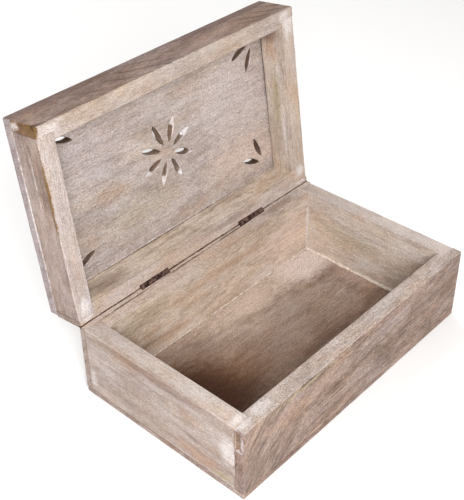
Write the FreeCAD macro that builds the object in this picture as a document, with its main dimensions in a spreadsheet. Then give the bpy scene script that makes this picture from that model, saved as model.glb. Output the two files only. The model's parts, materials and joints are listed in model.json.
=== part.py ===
import FreeCAD, Part
import math
import os
import Sketcher

# A keepsake box of limed wood, with a hinged lid that is pierced with a flower
#
# Every piece is drawn with the lid shut, about the middle of the box at the height of the hinge pins.
# The base lies below that height and the lid above it, so the same functions make both halves.
# The finished box stands open on the origin, with +X along its length, +Y to the hinges and +Z up.

# Driving sizes, in millimetres and degrees
SIZES = {
    # Outside of the shut box, and how far the lid opens
    "box_length": 229.0,
    "box_depth": 139.0,
    "base_height": 56.0,
    "lid_height": 31.0,
    "open_angle": 98.0,
    # Boards, and the end grain of a long wall that shows beside its rabbet
    "wall_thickness": 12.5,
    "base_panel_thickness": 4.5,
    "lid_panel_thickness": 8.0,
    "front_lip": 7.0,
    "back_lip": 4.5,
    "edge_chamfer": 0.7,
    # Air between the shut rims, and between the rear bevels of the open box
    "rim_gap": 0.3,
    "stop_gap": 0.3,
    # Pierced petals
    "petal_inner_radius": 6.6,
    "petal_length": 18.5,
    "petal_width": 5.4,
    "corner_petal_inset": 8.0,
    # Hinges
    "hinge_length": 25.4,
    "hinge_spacing": 98.0,
    "leaf_width": 13.0,
    "leaf_thickness": 1.0,
    "leaf_corner_radius": 1.5,
    "barrel_radius": 2.0,
    "pin_radius": 1.0,
    "pin_chamfer": 0.3,
    # Room round the pin, between knuckles, from a barrel to the next plate, and round a barrel in the wood
    "pin_fit": 0.05,
    "knuckle_gap": 0.3,
    "plate_gap": 0.7,
    "notch_gap": 0.7,
    "notch_end_gap": 1.0,
    # Hinge screws
    "screw_spacing": 15.0,
    "screw_length": 9.5,
    "screw_shank_radius": 1.2,
    # Flat headless brads, and how far they are punched below the wood
    "brad_length": 18.0,
    "brad_thickness": 1.0,
    "brad_width": 1.3,
    "brad_point_length": 1.5,
    "brad_depth": 1.2,
    "base_corner_brad_spacing": 26.0,
    "lid_corner_brad_spacing": 11.0,
    "long_brad_spacing": 80.0,
    "end_brad_spacing": 50.0,
}

# Counts: petals of a flower, knuckles of a hinge, and fasteners in a row
PETAL_COUNT = 8
KNUCKLE_COUNT = 5
CORNER_BRAD_COUNT = 2
LONG_BRAD_COUNT = 3
END_BRAD_COUNT = 2
LEAF_SCREW_COUNT = 2

# Degrees of a full turn, and from one petal to the next
FULL_TURN = 360
PETAL_STEP = FULL_TURN / PETAL_COUNT

# The signs of directions: down or up from the pins, front or back, left or right
DOWN, UP = -1, 1
FRONT, BACK = -1, 1
LEFT, RIGHT = -1, 1

# How a sketch numbers its own origin and the places on a line, arc or circle
ORIGIN = (-1, 1)
START, END, CENTRE = range(1, 4)

# The directions in which faces look, and how closely an edge has to lie on a face to count as its own
ALONG_X = FreeCAD.Vector(1, 0, 0)
ALONG_Y = FreeCAD.Vector(0, 1, 0)
ALONG_Z = FreeCAD.Vector(0, 0, 1)
NEAR = 0.001

doc = FreeCAD.newDocument("KeepsakeBox")
sheet = doc.addObject("Spreadsheet::Sheet", "Sizes")
for row, (alias, number) in enumerate(SIZES.items(), start=1):
    sheet.set(f"A{row}", alias)
    sheet.set(f"B{row}", str(number))
    sheet.setAlias(f"B{row}", alias)
doc.recompute()

# Places that several pieces share, measured from the middle of the box at the height of the pins
HALF_LENGTH = "(Sizes.box_length / 2)"
HALF_DEPTH = "(Sizes.box_depth / 2)"
INNER_LENGTH = "(Sizes.box_length / 2 - Sizes.wall_thickness)"
INNER_DEPTH = "(Sizes.box_depth / 2 - Sizes.wall_thickness)"
MID_WALL_LENGTH = "(Sizes.box_length / 2 - Sizes.wall_thickness / 2)"
MID_WALL_DEPTH = "(Sizes.box_depth / 2 - Sizes.wall_thickness / 2)"
RIM = "(Sizes.rim_gap / 2)"
LIPS = {FRONT: "Sizes.front_lip", BACK: "Sizes.back_lip"}
END_FACES = [(ALONG_X, HALF_LENGTH), (ALONG_X, f"-{HALF_LENGTH}")]

# The pin lies inside the back face, so that the leaves lie flat on the wood and level with the barrel
PIN_INSET = "(Sizes.barrel_radius - Sizes.leaf_thickness)"
PIN_DEPTH = f"({HALF_DEPTH} - {PIN_INSET})"
PIN_HEIGHT = "(Sizes.base_height + Sizes.rim_gap / 2)"
HINGE_END = "(Sizes.hinge_length / 2)"
HINGE_ENDS = [(ALONG_X, HINGE_END), (ALONG_X, f"-{HINGE_END}")]
HINGE_PLACE = "(Sizes.hinge_spacing / 2)"
PLATE_START = "(Sizes.barrel_radius + Sizes.plate_gap)"
PLATE_MIDDLE = f"({PLATE_START} + Sizes.leaf_width / 2)"
PLATE_END = f"({PLATE_START} + Sizes.leaf_width)"
NOTCH = "(Sizes.barrel_radius + Sizes.notch_gap)"

# The rear bevels stand at half the opening angle and meet, but for the stop gap, when the lid is open
STOP_ANGLE = "(Sizes.open_angle / 2)"
BEVEL_RUN = (
    f"({PIN_INSET} + (Sizes.stop_gap - Sizes.rim_gap * cos({STOP_ANGLE})) / (2 * sin({STOP_ANGLE})))"
)
BEVEL_END = f"((Sizes.stop_gap / 2 + {PIN_INSET} * sin({STOP_ANGLE})) / cos({STOP_ANGLE}))"


def value(expression):
    """Work out an expression."""
    return float(sheet.evalExpression(expression))


def place(across, along, up, tilt="0"):
    """Write a placement: a shift, and a turn about the length of the box."""
    return f"placement(vector({across}; {along}; {up}); rotation(vector(1; 0; 0); {tilt}))"


BASE_PLACE = place("0", "0", PIN_HEIGHT)
LID_TURN = place("0", PIN_DEPTH, PIN_HEIGHT, "-Sizes.open_angle")
LID_PLACE = f"{LID_TURN} * {place('0', f'-{PIN_DEPTH}', '0')}"


class Half:
    """The base or the lid: its name, its side of the pins and its place in the open box."""

    def __init__(self, name, side, where):
        self.name = name
        self.side = side
        self.where = where
        self.height = f"Sizes.{name}_height"
        self.panel = f"Sizes.{name}_panel_thickness"
        self.wall_height = f"({self.height} - {self.panel})"
        self.rim = self.level(RIM)
        self.wall_end = self.level(f"{RIM} + {self.wall_height}")
        self.outside = self.level(f"{RIM} + {self.height}")
        stop = math.radians(value(STOP_ANGLE))
        looks = FreeCAD.Vector(0, math.sin(stop), -side * math.cos(stop))
        self.bevel = (looks, f"{PIN_DEPTH} * sin({STOP_ANGLE}) - Sizes.stop_gap / 2")

    def level(self, distance):
        """Write a height that lies this far from the pins, on the side of this half."""
        return f"({self.side} * ({distance}))"


BASE = Half("base", DOWN, BASE_PLACE)
LID = Half("lid", UP, LID_PLACE)


def new_body(name, where):
    """Start a piece at its place in the open box."""
    body = doc.addObject("PartDesign::Body", name)
    body.setExpression("Placement", where)
    return body


def datum(body, role):
    """Find an axis or a plane of a body's own origin."""
    return next(feature for feature in body.Origin.OriginFeatures if feature.Role == role)


def new_sketch(body, name, role, shift=("0", "0", "0"), turn="0"):
    """Start a sketch on a plane of the body, shifted and turned within that plane."""
    sketch = body.newObject("Sketcher::SketchObject", name)
    sketch.AttachmentSupport = (datum(body, role), [""])
    sketch.MapMode = "FlatFace"
    offset = "; ".join(shift)
    sketch.setExpression(
        "AttachmentOffset",
        f"placement(vector({offset}); rotation(vector(0; 0; 1); {turn}))",
    )
    return sketch


def hold(sketch, kind, expression, *where):
    """Add a dimension that follows an expression."""
    index = sketch.addConstraint(Sketcher.Constraint(kind, *where, value(expression)))
    sketch.setExpression(f"Constraints[{index}]", expression)


def hold_point(sketch, curve, spot, across, up):
    """Hold a point of a curve at its distances from the sketch's origin."""
    hold(sketch, "DistanceX", across, *ORIGIN, curve, spot)
    hold(sketch, "DistanceY", up, *ORIGIN, curve, spot)


def join(sketch, first, first_spot, second, second_spot):
    """Make two curves meet in a point."""
    sketch.addConstraint(Sketcher.Constraint("Coincident", first, first_spot, second, second_spot))


def vector(across, up):
    """Work out a point of a sketch."""
    return FreeCAD.Vector(value(across), value(up), 0)


def draw_outline(sketch, corners):
    """Draw a closed outline of straight lines through its corners."""
    first = sketch.GeometryCount
    points = [vector(across, up) for across, up in corners]
    for start, end in zip(points, points[1:] + points[:1]):
        sketch.addGeometry(Part.LineSegment(start, end), False)
    for step, (across, up) in enumerate(corners):
        line = first + step
        following = first + (step + 1) % len(corners)
        join(sketch, line, END, following, START)
        hold_point(sketch, line, START, across, up)


def draw_rectangle(sketch, left, right, low, high):
    """Draw a rectangle from its four sides."""
    draw_outline(sketch, [(left, low), (right, low), (right, high), (left, high)])


def draw_circle(sketch, radius):
    """Draw a circle about the sketch's origin."""
    middle = FreeCAD.Vector(0, 0, 0)
    circle = sketch.addGeometry(Part.Circle(middle, FreeCAD.Vector(0, 0, 1), value(radius)), False)
    join(sketch, circle, CENTRE, *ORIGIN)
    hold(sketch, "Radius", radius, circle)


def pad(body, name, sketch, length, side=UP, both_ways=False):
    """Raise a solid from a sketch, to one side of it or evenly to both."""
    feature = body.newObject("PartDesign::Pad", name)
    feature.Profile = sketch
    feature.setExpression("Length", length)
    feature.Reversed = side == DOWN
    feature.Midplane = both_ways
    doc.recompute()
    return feature


def pocket(body, name, sketch, length=None):
    """Cut a sketch evenly to both sides, right through or over a length."""
    before = body.Shape.Volume
    feature = body.newObject("PartDesign::Pocket", name)
    feature.Profile = sketch
    feature.Midplane = True
    if length is None:
        feature.Type = "ThroughAll"
    else:
        feature.setExpression("Length", length)
    doc.recompute()
    if not body.Shape.Volume < before:
        raise RuntimeError(f"{body.Label}: {name} cuts nothing")
    return feature


def mirror(body, name, feature):
    """Repeat a feature at the other end of the box."""
    copy = body.newObject("PartDesign::Mirrored", name)
    copy.Originals = [feature]
    copy.MirrorPlane = (datum(body, "YZ_Plane"), [""])
    body.Tip = copy
    doc.recompute()


def repeat(body, name, feature, steps):
    """Repeat a feature by patterns and mirrors, each made by one of the steps, one after the other."""
    copies = body.newObject("PartDesign::MultiTransform", name)
    copies.Originals = [feature]
    copies.Transformations = [step(body, f"{name}_{number}") for number, step in enumerate(steps)]
    body.Tip = copies
    doc.recompute()


def row_step(role, length, count):
    """Make the step that lays copies in a row along an axis."""

    def step(body, name):
        pattern = body.newObject("PartDesign::LinearPattern", name)
        pattern.Direction = (datum(body, role), [""])
        pattern.setExpression("Length", length)
        pattern.Occurrences = count
        return pattern

    return step


def mirror_step(role):
    """Make the step that mirrors copies in a plane."""

    def step(body, name):
        copy = body.newObject("PartDesign::Mirrored", name)
        copy.MirrorPlane = (datum(body, role), [""])
        return copy

    return step


def ring_step(sketch, angle, count):
    """Make the step that turns copies about the middle of a sketch."""

    def step(body, name):
        pattern = body.newObject("PartDesign::PolarPattern", name)
        pattern.Axis = (sketch, ["N_Axis"])
        pattern.Angle = angle
        pattern.Occurrences = count
        return pattern

    return step


def lies_on(edge, normal, distance):
    """Tell whether all of an edge lies in the plane at this distance along its normal."""
    return all(abs(vertex.Point.dot(normal) - distance) < NEAR for vertex in edge.Vertexes)


def soften(body, kind, measure, size, faces, shared=2):
    """Fillet or chamfer each edge that lies on so many of these faces."""
    planes = [(normal, value(distance)) for normal, distance in faces]
    tip = body.Tip
    chosen = [
        f"Edge{number}"
        for number, edge in enumerate(tip.Shape.Edges, start=1)
        if sum(lies_on(edge, normal, distance) for normal, distance in planes) == shared
    ]
    feature = body.newObject(f"PartDesign::{kind}", f"{kind}edEdges")
    feature.Base = (tip, chosen)
    feature.setExpression(measure, size)
    doc.recompute()


def ease(body, faces):
    """Take the sharpness off each edge that two of the body's outside faces share."""
    soften(body, "Chamfer", "Size", "Sizes.edge_chamfer", faces)


def long_wall(half, name, toward):
    """Make a front or back wall: a board over the whole length, with a rabbet at each end."""
    body = new_body(f"{name}_blank", half.where)
    inner = f"{toward} * {INNER_DEPTH}"
    outer = f"{toward} * {HALF_DEPTH}"
    outside = [*END_FACES, (ALONG_Y, outer), (ALONG_Z, half.rim)]
    rim_edge = [(outer, half.rim)]
    if toward == BACK:
        rim_edge = [(f"{outer} - {BEVEL_RUN}", half.rim), (outer, half.level(BEVEL_END))]
        outside.append(half.bevel)
    section = new_sketch(body, "Section", "YZ_Plane")
    draw_outline(section, [(inner, half.rim), *rim_edge, (outer, half.wall_end), (inner, half.wall_end)])
    pad(body, "Board", section, "Sizes.box_length", both_ways=True)
    ease(body, outside)

    rabbet = new_sketch(body, "RabbetPlan", "XY_Plane")
    lip = f"{toward} * ({HALF_DEPTH} - {LIPS[toward]})"
    draw_rectangle(rabbet, INNER_LENGTH, HALF_LENGTH, inner, lip)
    mirror(body, "OtherRabbet", pocket(body, "Rabbet", rabbet))

    if toward == BACK:
        notch = new_sketch(body, "NotchSection", "YZ_Plane", ("0", "0", HINGE_PLACE))
        front_edge = f"{PIN_DEPTH} - {NOTCH}"
        draw_rectangle(notch, front_edge, f"{HALF_DEPTH} + Sizes.leaf_thickness", "0", half.level(NOTCH))
        notch_length = "Sizes.hinge_length + 2 * Sizes.notch_end_gap"
        mirror(body, "OtherNotch", pocket(body, "HingeNotch", notch, notch_length))
    return body


def end_wall(half, name, side):
    """Make a left or right wall, which sits between the lips of the long walls."""
    body = new_body(f"{name}_blank", half.where)
    plan = new_sketch(body, "Plan", "XY_Plane", ("0", "0", half.rim))
    outer = f"{side} * {HALF_LENGTH}"
    front = f"-({HALF_DEPTH} - {LIPS[FRONT]})"
    back = f"{HALF_DEPTH} - {LIPS[BACK]}"
    draw_rectangle(plan, f"{side} * {INNER_LENGTH}", outer, front, back)
    pad(body, "Board", plan, half.wall_height, half.side)
    ease(body, [(ALONG_X, outer), (ALONG_Z, half.rim)])
    return body


def panel(half, name):
    """Make the board that closes a half, flush with the outside of its walls."""
    body = new_body(f"{name}_blank", half.where)
    plan = new_sketch(body, "Plan", "XY_Plane", ("0", "0", half.wall_end))
    draw_rectangle(plan, f"-{HALF_LENGTH}", HALF_LENGTH, f"-{HALF_DEPTH}", HALF_DEPTH)
    pad(body, "Board", plan, half.panel, half.side)
    long_faces = [(ALONG_Y, HALF_DEPTH), (ALONG_Y, f"-{HALF_DEPTH}")]
    ease(body, [*END_FACES, *long_faces, (ALONG_Z, half.outside)])
    return body


def petal(body, name, across, along):
    """Pierce one petal, two arcs that meet in points, beside the middle of its flower."""
    middle = (across, along, LID.wall_end)
    sketch = new_sketch(body, f"{name}Outline", "XY_Plane", middle, str(PETAL_STEP / 2))
    near = "Sizes.petal_inner_radius"
    far = f"({near} + Sizes.petal_length)"
    radius = "((Sizes.petal_length^2 + Sizes.petal_width^2) / (4 * Sizes.petal_width))"
    waist = f"({near} + Sizes.petal_length / 2)"
    bulge = "(Sizes.petal_width / 2)"
    for start, bend, end in ((near, f"-{bulge}", far), (far, bulge, near)):
        arc = Part.Arc(vector(start, "0"), vector(waist, bend), vector(end, "0"))
        curve = sketch.addGeometry(arc, False)
        hold_point(sketch, curve, START, start, "0")
        hold(sketch, "Radius", radius, curve)
    join(sketch, 0, END, 1, START)
    join(sketch, 1, END, 0, START)
    return sketch, pocket(body, name, sketch)


def pierce_flowers(body):
    """Pierce a whole flower in the middle of the lid, and a quarter of one in each corner."""
    sketch, cut = petal(body, "MiddlePetal", "0", "0")
    repeat(body, "MiddleFlower", cut, [ring_step(sketch, FULL_TURN, PETAL_COUNT)])
    across = f"-({INNER_LENGTH} - Sizes.corner_petal_inset)"
    along = f"-({INNER_DEPTH} - Sizes.corner_petal_inset)"
    sketch, cut = petal(body, "CornerPetal", across, along)
    quarter = PETAL_COUNT // 4
    fan = ring_step(sketch, PETAL_STEP * (quarter - 1), quarter)
    repeat(body, "CornerFlowers", cut, [fan, mirror_step("YZ_Plane"), mirror_step("XZ_Plane")])


def turned(body, name, role, shift, corners):
    """Turn a half outline about the upright axis of its sketch."""
    sketch = new_sketch(body, f"{name}Outline", role, shift)
    draw_outline(sketch, corners)
    feature = body.newObject("PartDesign::Revolution", name)
    feature.Profile = sketch
    feature.ReferenceAxis = (sketch, ["V_Axis"])
    doc.recompute()
    return feature


def flat_brad(body, name, role, shift, way):
    """Make a headless brad cut from flat wire, with a chisel point."""
    sketch = new_sketch(body, f"{name}Outline", role, shift)
    edge = "Sizes.brad_width / 2"
    shank_end = f"{way} * (Sizes.brad_length - Sizes.brad_point_length)"
    point = ("0", f"{way} * Sizes.brad_length")
    draw_outline(sketch, [(edge, "0"), (edge, shank_end), point, (f"-{edge}", shank_end), (f"-{edge}", "0")])
    return pad(body, name, sketch, "Sizes.brad_thickness", both_ways=True)


def corner_brads(half):
    """Make the brads that go through the lips of the long walls into the ends of the end walls."""
    body = new_body(f"{half.name}_corner_brads", half.where)
    spacing = f"Sizes.{half.name}_corner_brad_spacing"
    low = f"{half.level(f'{RIM} + {half.wall_height} / 2')} - {spacing} * {(CORNER_BRAD_COUNT - 1) / 2}"
    head = f"-({HALF_DEPTH} - Sizes.brad_depth)"
    brad = flat_brad(body, "Brad", "XY_Plane", (MID_WALL_LENGTH, head, low), UP)
    pair = row_step("Z_Axis", f"{spacing} * {CORNER_BRAD_COUNT - 1}", CORNER_BRAD_COUNT)
    repeat(body, "Brads", brad, [pair, mirror_step("YZ_Plane"), mirror_step("XZ_Plane")])
    return body


def panel_brads(half):
    """Make the brads that go through the panel into the long walls and the end walls."""
    body = new_body(f"{half.name}_panel_brads", half.where)
    head = f"{half.outside} - {half.side} * Sizes.brad_depth"
    first = f"-Sizes.long_brad_spacing * {(LONG_BRAD_COUNT - 1) / 2}"
    brad = flat_brad(body, "LongWallBrad", "XZ_Plane", (first, head, f"-{MID_WALL_DEPTH}"), -half.side)
    along = row_step("X_Axis", f"Sizes.long_brad_spacing * {LONG_BRAD_COUNT - 1}", LONG_BRAD_COUNT)
    repeat(body, "LongWallBrads", brad, [along, mirror_step("XZ_Plane")])
    first = f"Sizes.end_brad_spacing * {(END_BRAD_COUNT - 1) / 2}"
    brad = flat_brad(body, "EndWallBrad", "XZ_Plane", (MID_WALL_LENGTH, head, first), -half.side)
    along = row_step("Y_Axis", f"Sizes.end_brad_spacing * {END_BRAD_COUNT - 1}", END_BRAD_COUNT)
    repeat(body, "EndWallBrads", brad, [along, mirror_step("YZ_Plane")])
    return body


def hinge_screws(half):
    """Make the screws of both hinges, whose heads fill the countersunk leaves, driven into the back wall."""
    body = new_body(f"{half.name}_hinge_screws", half.where)
    outline = [
        ("0", "0"),
        ("Sizes.screw_shank_radius + Sizes.leaf_thickness", "0"),
        ("Sizes.screw_shank_radius", "-Sizes.leaf_thickness"),
        ("Sizes.screw_shank_radius", "-Sizes.screw_length"),
        ("0", "-Sizes.screw_length"),
    ]
    first = f"{HINGE_PLACE} - Sizes.screw_spacing * {(LEAF_SCREW_COUNT - 1) / 2}"
    head = f"{HALF_DEPTH} + Sizes.leaf_thickness"
    screw = turned(body, "Screw", "XY_Plane", (first, head, half.level(PLATE_MIDDLE)), outline)
    along = row_step("X_Axis", f"Sizes.screw_spacing * {LEAF_SCREW_COUNT - 1}", LEAF_SCREW_COUNT)
    repeat(body, "Screws", screw, [along, mirror_step("YZ_Plane")])
    return body


def hinge_leaf(half, name, side, knuckles, bore):
    """Make a hinge leaf: a plate rolled into a barrel, cut away between its own knuckles."""
    tilt = "0" if half is BASE else "-Sizes.open_angle"
    body = new_body(f"{name}_blank", place(f"{side} * {HINGE_PLACE}", PIN_DEPTH, PIN_HEIGHT, tilt))
    section = new_sketch(body, "Section", "YZ_Plane")
    outer = "Sizes.barrel_radius"
    plate_end = half.level(PLATE_END)
    root = half.level(f"sqrt({outer}^2 - {PIN_INSET}^2)")
    corners = [(outer, "0"), (outer, plate_end), (PIN_INSET, plate_end), (PIN_INSET, root)]
    points = [vector(across, up) for across, up in corners]
    for start, end in zip(points, points[1:]):
        section.addGeometry(Part.LineSegment(start, end), False)
    around = FreeCAD.Vector(-value(outer), 0, 0)
    barrel = section.addGeometry(Part.Arc(points[-1], around, points[0]), False)
    # An arc is kept anticlockwise, so below the pin it starts where the plate's outer face ends
    inner_spot, outer_spot = (START, END) if half.side == UP else (END, START)
    for line, (across, up) in enumerate(corners[:-1]):
        hold_point(section, line, START, across, up)
    for line in range(len(corners) - 2):
        join(section, line, END, line + 1, START)
    join(section, barrel, CENTRE, *ORIGIN)
    join(section, barrel, inner_spot, barrel - 1, END)
    join(section, barrel, outer_spot, 0, START)
    hold(section, "DistanceX", PIN_INSET, *ORIGIN, barrel - 1, END)
    pad(body, "Leaf", section, "Sizes.hinge_length", both_ways=True)

    hole = new_sketch(body, "BoreCircle", "YZ_Plane")
    draw_circle(hole, bore)
    pocket(body, "Bore", hole)

    gaps = new_sketch(body, "KnuckleGaps", "XZ_Plane")
    over = half.level(f"-({outer} + Sizes.knuckle_gap)")
    under = half.level(PLATE_START)
    for knuckle in set(range(KNUCKLE_COUNT)) - set(knuckles):
        left = f"Sizes.hinge_length * {knuckle / KNUCKLE_COUNT} - {HINGE_END} - Sizes.knuckle_gap / 2"
        right = f"Sizes.hinge_length * {(knuckle + 1) / KNUCKLE_COUNT} - {HINGE_END} + Sizes.knuckle_gap / 2"
        draw_rectangle(gaps, left, right, over, under)
    pocket(body, "Knuckles", gaps)

    soften(body, "Fillet", "Radius", "Sizes.leaf_corner_radius", [*HINGE_ENDS, (ALONG_Z, plate_end)])
    return body


def hinge_pin(name, side):
    """Make a hinge pin as long as its barrel, with eased ends."""
    body = new_body(name, place(f"{side} * {HINGE_PLACE}", PIN_DEPTH, PIN_HEIGHT))
    section = new_sketch(body, "Section", "YZ_Plane")
    draw_circle(section, "Sizes.pin_radius")
    pad(body, "Rod", section, "Sizes.hinge_length", both_ways=True)
    soften(body, "Chamfer", "Size", "Sizes.pin_chamfer", HINGE_ENDS, shared=1)
    return body


pieces = {}


def add_piece(name, solid):
    """Name a finished piece."""
    solid.Label = name
    pieces[name] = solid


def add_drilled(name, blank, fasteners):
    """Name a piece whose holes are exactly those that its fasteners fill."""
    cut = doc.addObject("Part::Cut", name)
    cut.Base = blank
    cut.Tool = fasteners
    add_piece(name, cut)


def add_half(half, panel_name):
    """Make the frame and the panel of a half, with their fasteners."""
    prefix = half.name
    brads = [corner_brads(half), panel_brads(half)]
    screws = hinge_screws(half)
    fasteners = doc.addObject("Part::Compound", f"{prefix}_fasteners")
    fasteners.Links = [*brads, screws]
    for body in [*brads, screws]:
        add_piece(body.Name, body)
    for side_name, toward in (("front", FRONT), ("back", BACK)):
        name = f"{prefix}_{side_name}_wall"
        add_drilled(name, long_wall(half, name, toward), fasteners)
    for side_name, side in (("left", LEFT), ("right", RIGHT)):
        name = f"{prefix}_{side_name}_wall"
        add_drilled(name, end_wall(half, name, side), fasteners)
    board = panel(half, panel_name)
    if half is LID:
        pierce_flowers(board)
    add_drilled(panel_name, board, fasteners)
    return screws


def add_hinge(name, side, base_screws, lid_screws):
    """Make a hinge, whose pin is tight in the base leaf and turns in the lid leaf."""
    base_knuckles = range(0, KNUCKLE_COUNT, 2)
    lid_knuckles = range(1, KNUCKLE_COUNT, 2)
    base_leaf = f"{name}_base_leaf"
    lid_leaf = f"{name}_lid_leaf"
    blank = hinge_leaf(BASE, base_leaf, side, base_knuckles, "Sizes.pin_radius")
    add_drilled(base_leaf, blank, base_screws)
    blank = hinge_leaf(LID, lid_leaf, side, lid_knuckles, "Sizes.pin_radius + Sizes.pin_fit")
    add_drilled(lid_leaf, blank, lid_screws)
    pin = f"{name}_pin"
    add_piece(pin, hinge_pin(pin, side))


base_screws = add_half(BASE, "base_bottom_panel")
lid_screws = add_half(LID, "lid_top_panel")
add_hinge("left_hinge", LEFT, base_screws, lid_screws)
add_hinge("right_hinge", RIGHT, base_screws, lid_screws)
doc.recompute()

# Nothing is written unless every object of the document is sound
for item in doc.Objects:
    if {"Invalid", "Error"} & set(item.State):
        raise RuntimeError(f"{item.Label} failed: {item.State}")
for name, solid in pieces.items():
    if solid.Shape.isNull() or not solid.Shape.isValid():
        raise RuntimeError(f"{name} has no valid shape")

os.makedirs("parts", exist_ok=True)
for name, solid in pieces.items():
    solid.Shape.exportStep(os.path.join("parts", f"{name}.step"))
    print(f"{name}: {len(solid.Shape.Solids)} solids, {solid.Shape.Volume:.1f} cubic mm")
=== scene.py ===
# %% [markdown]
# # A limed keepsake box with a pierced lid
# The box stands open, as it was photographed. Its sizes, its pieces and its hinge come from a packed
# solid model, which is loaded first and never moved. This script then dresses that model: worn boards
# in the place of the plain ones, slotted screws, filler in the joints, and a finish for every surface.

# %% Load the packed box
import bmesh
import bpy
import json
import math
import random
from mathutils import Matrix, Quaternion, Vector


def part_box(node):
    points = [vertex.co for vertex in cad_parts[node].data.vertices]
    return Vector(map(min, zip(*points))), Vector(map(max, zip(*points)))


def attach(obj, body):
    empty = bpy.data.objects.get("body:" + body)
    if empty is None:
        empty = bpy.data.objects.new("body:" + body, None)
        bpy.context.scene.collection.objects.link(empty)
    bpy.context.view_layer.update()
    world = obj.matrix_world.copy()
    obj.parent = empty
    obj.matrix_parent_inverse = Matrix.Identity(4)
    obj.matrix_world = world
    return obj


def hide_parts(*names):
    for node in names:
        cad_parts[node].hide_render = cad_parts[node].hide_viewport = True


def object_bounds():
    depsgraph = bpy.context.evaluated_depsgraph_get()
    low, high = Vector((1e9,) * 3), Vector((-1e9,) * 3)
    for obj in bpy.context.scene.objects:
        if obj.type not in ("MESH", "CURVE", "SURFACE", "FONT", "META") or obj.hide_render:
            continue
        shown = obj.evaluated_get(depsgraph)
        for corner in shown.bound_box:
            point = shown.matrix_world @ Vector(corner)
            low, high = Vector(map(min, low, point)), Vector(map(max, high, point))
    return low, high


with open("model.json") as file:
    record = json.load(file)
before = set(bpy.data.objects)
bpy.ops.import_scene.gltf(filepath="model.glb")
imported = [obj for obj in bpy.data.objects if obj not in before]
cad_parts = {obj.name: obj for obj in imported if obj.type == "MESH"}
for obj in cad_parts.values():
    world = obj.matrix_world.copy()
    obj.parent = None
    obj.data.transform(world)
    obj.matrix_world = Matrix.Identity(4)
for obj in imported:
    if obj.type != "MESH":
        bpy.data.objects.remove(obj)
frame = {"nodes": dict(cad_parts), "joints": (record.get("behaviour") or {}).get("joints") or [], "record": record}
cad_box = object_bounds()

MM = 0.001


def in_mm(lengths):
    """Give lengths in millimetres, to print them."""
    return [round(length / MM, 1) for length in lengths]


print("loaded", len(frame["nodes"]), "pieces, box in mm:", in_mm(cad_box[1] - cad_box[0]))

# %% [markdown]
# ## Laying the lid flat
# The lid stands open at its hinge pins. Boards are easier to model square to the axes, so each lid
# board is made where it lies with the lid shut, and is swung open at the end. The joint gives the pin
# and the angle of that swing.

# %% Find the hinge, and the flat place of each board
hinge = frame["joints"][0]
PIN = Vector(hinge["pos_m"])
OPEN_ANGLE = math.radians(hinge["range_deg"][1])
SHUT = Matrix.Translation(PIN) @ Matrix.Rotation(OPEN_ANGLE, 4, "X") @ Matrix.Translation(-PIN)
BODY_OF = {node: body for body, nodes in frame["record"]["behaviour"]["bodies"].items() for node in nodes}


def home(node):
    """Give the move that lays a piece flat: none for the base, the shut place for the lid."""
    return SHUT if BODY_OF[node] == "lid" else Matrix.Identity(4)


def flat_box(node):
    """Find the lowest and highest corner of a piece when the lid is shut."""
    corners = [home(node) @ vertex.co for vertex in frame["nodes"][node].data.vertices]
    return Vector(map(min, zip(*corners))), Vector(map(max, zip(*corners)))


for node in ("base_front_wall", "lid_front_wall"):
    low, high = flat_box(node)
    print(node, "flat size in mm:", in_mm(high - low))

# %% [markdown]
# ## Camera
# The photograph looks down on the open box from its front left corner. The lens and the place were
# found by matching the corners of the box, and the camera leans a little to one side.

# %% Place the camera
CAMERA_TARGET = Vector((0, 42.5, 66.1)) * MM
CAMERA_DISTANCE = 677 * MM
CAMERA_AZIMUTH = math.radians(-47.5)
CAMERA_ELEVATION = math.radians(36.55)
CAMERA_ROLL = math.radians(-0.66)
CAMERA_LENS = 71.5


def toward(azimuth, elevation):
    """Give the direction from the box to a viewer or a lamp."""
    flat = math.cos(elevation)
    return Vector((math.sin(azimuth) * flat, -math.cos(azimuth) * flat, math.sin(elevation)))


to_viewer = toward(CAMERA_AZIMUTH, CAMERA_ELEVATION)
bpy.ops.object.camera_add(location=CAMERA_TARGET + to_viewer * CAMERA_DISTANCE)
camera = bpy.context.object
camera.rotation_mode = "QUATERNION"
camera.rotation_quaternion = (-to_viewer).to_track_quat("-Z", "Y") @ Quaternion((0, 0, 1), CAMERA_ROLL)
camera.data.lens = CAMERA_LENS
bpy.context.scene.camera = camera
print("camera at, in mm:", in_mm(camera.location))

# %% [markdown]
# ## Light
# Soft studio light: a warm white surround, one wide lamp just to the right of the camera, and a broader
# and weaker one high behind the box. Broad lamps give the box soft shadows, darkest on its floor behind
# the front wall.

# %% Light the box
SURROUND_COLOUR = (1.0, 0.985, 0.965, 1)
SURROUND_STRENGTH = 0.52
KEY_LAMP = dict(azimuth=-40, elevation=34, distance=1.1, size=0.5, power=13)
BACK_LAMP = dict(azimuth=165, elevation=55, distance=1.3, size=0.9, power=7)

bpy.context.scene.view_settings.view_transform = "Standard"
world = bpy.data.worlds.new("studio")
world.use_nodes = True
background = world.node_tree.nodes["Background"].inputs
background["Color"].default_value = SURROUND_COLOUR
background["Strength"].default_value = SURROUND_STRENGTH
bpy.context.scene.world = world


def soft_lamp(name, azimuth, elevation, distance, size, power):
    """Hang a square lamp that looks at the box."""
    direction = toward(math.radians(azimuth), math.radians(elevation))
    bpy.ops.object.light_add(type="AREA", location=CAMERA_TARGET + direction * distance)
    lamp = bpy.context.object
    lamp.name = name
    lamp.rotation_mode = "QUATERNION"
    lamp.rotation_quaternion = (-direction).to_track_quat("-Z", "Y")
    lamp.data.size = size
    lamp.data.energy = power


soft_lamp("key_lamp", **KEY_LAMP)
soft_lamp("back_lamp", **BACK_LAMP)
print("lamps:", [light.name for light in bpy.data.lights])

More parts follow.
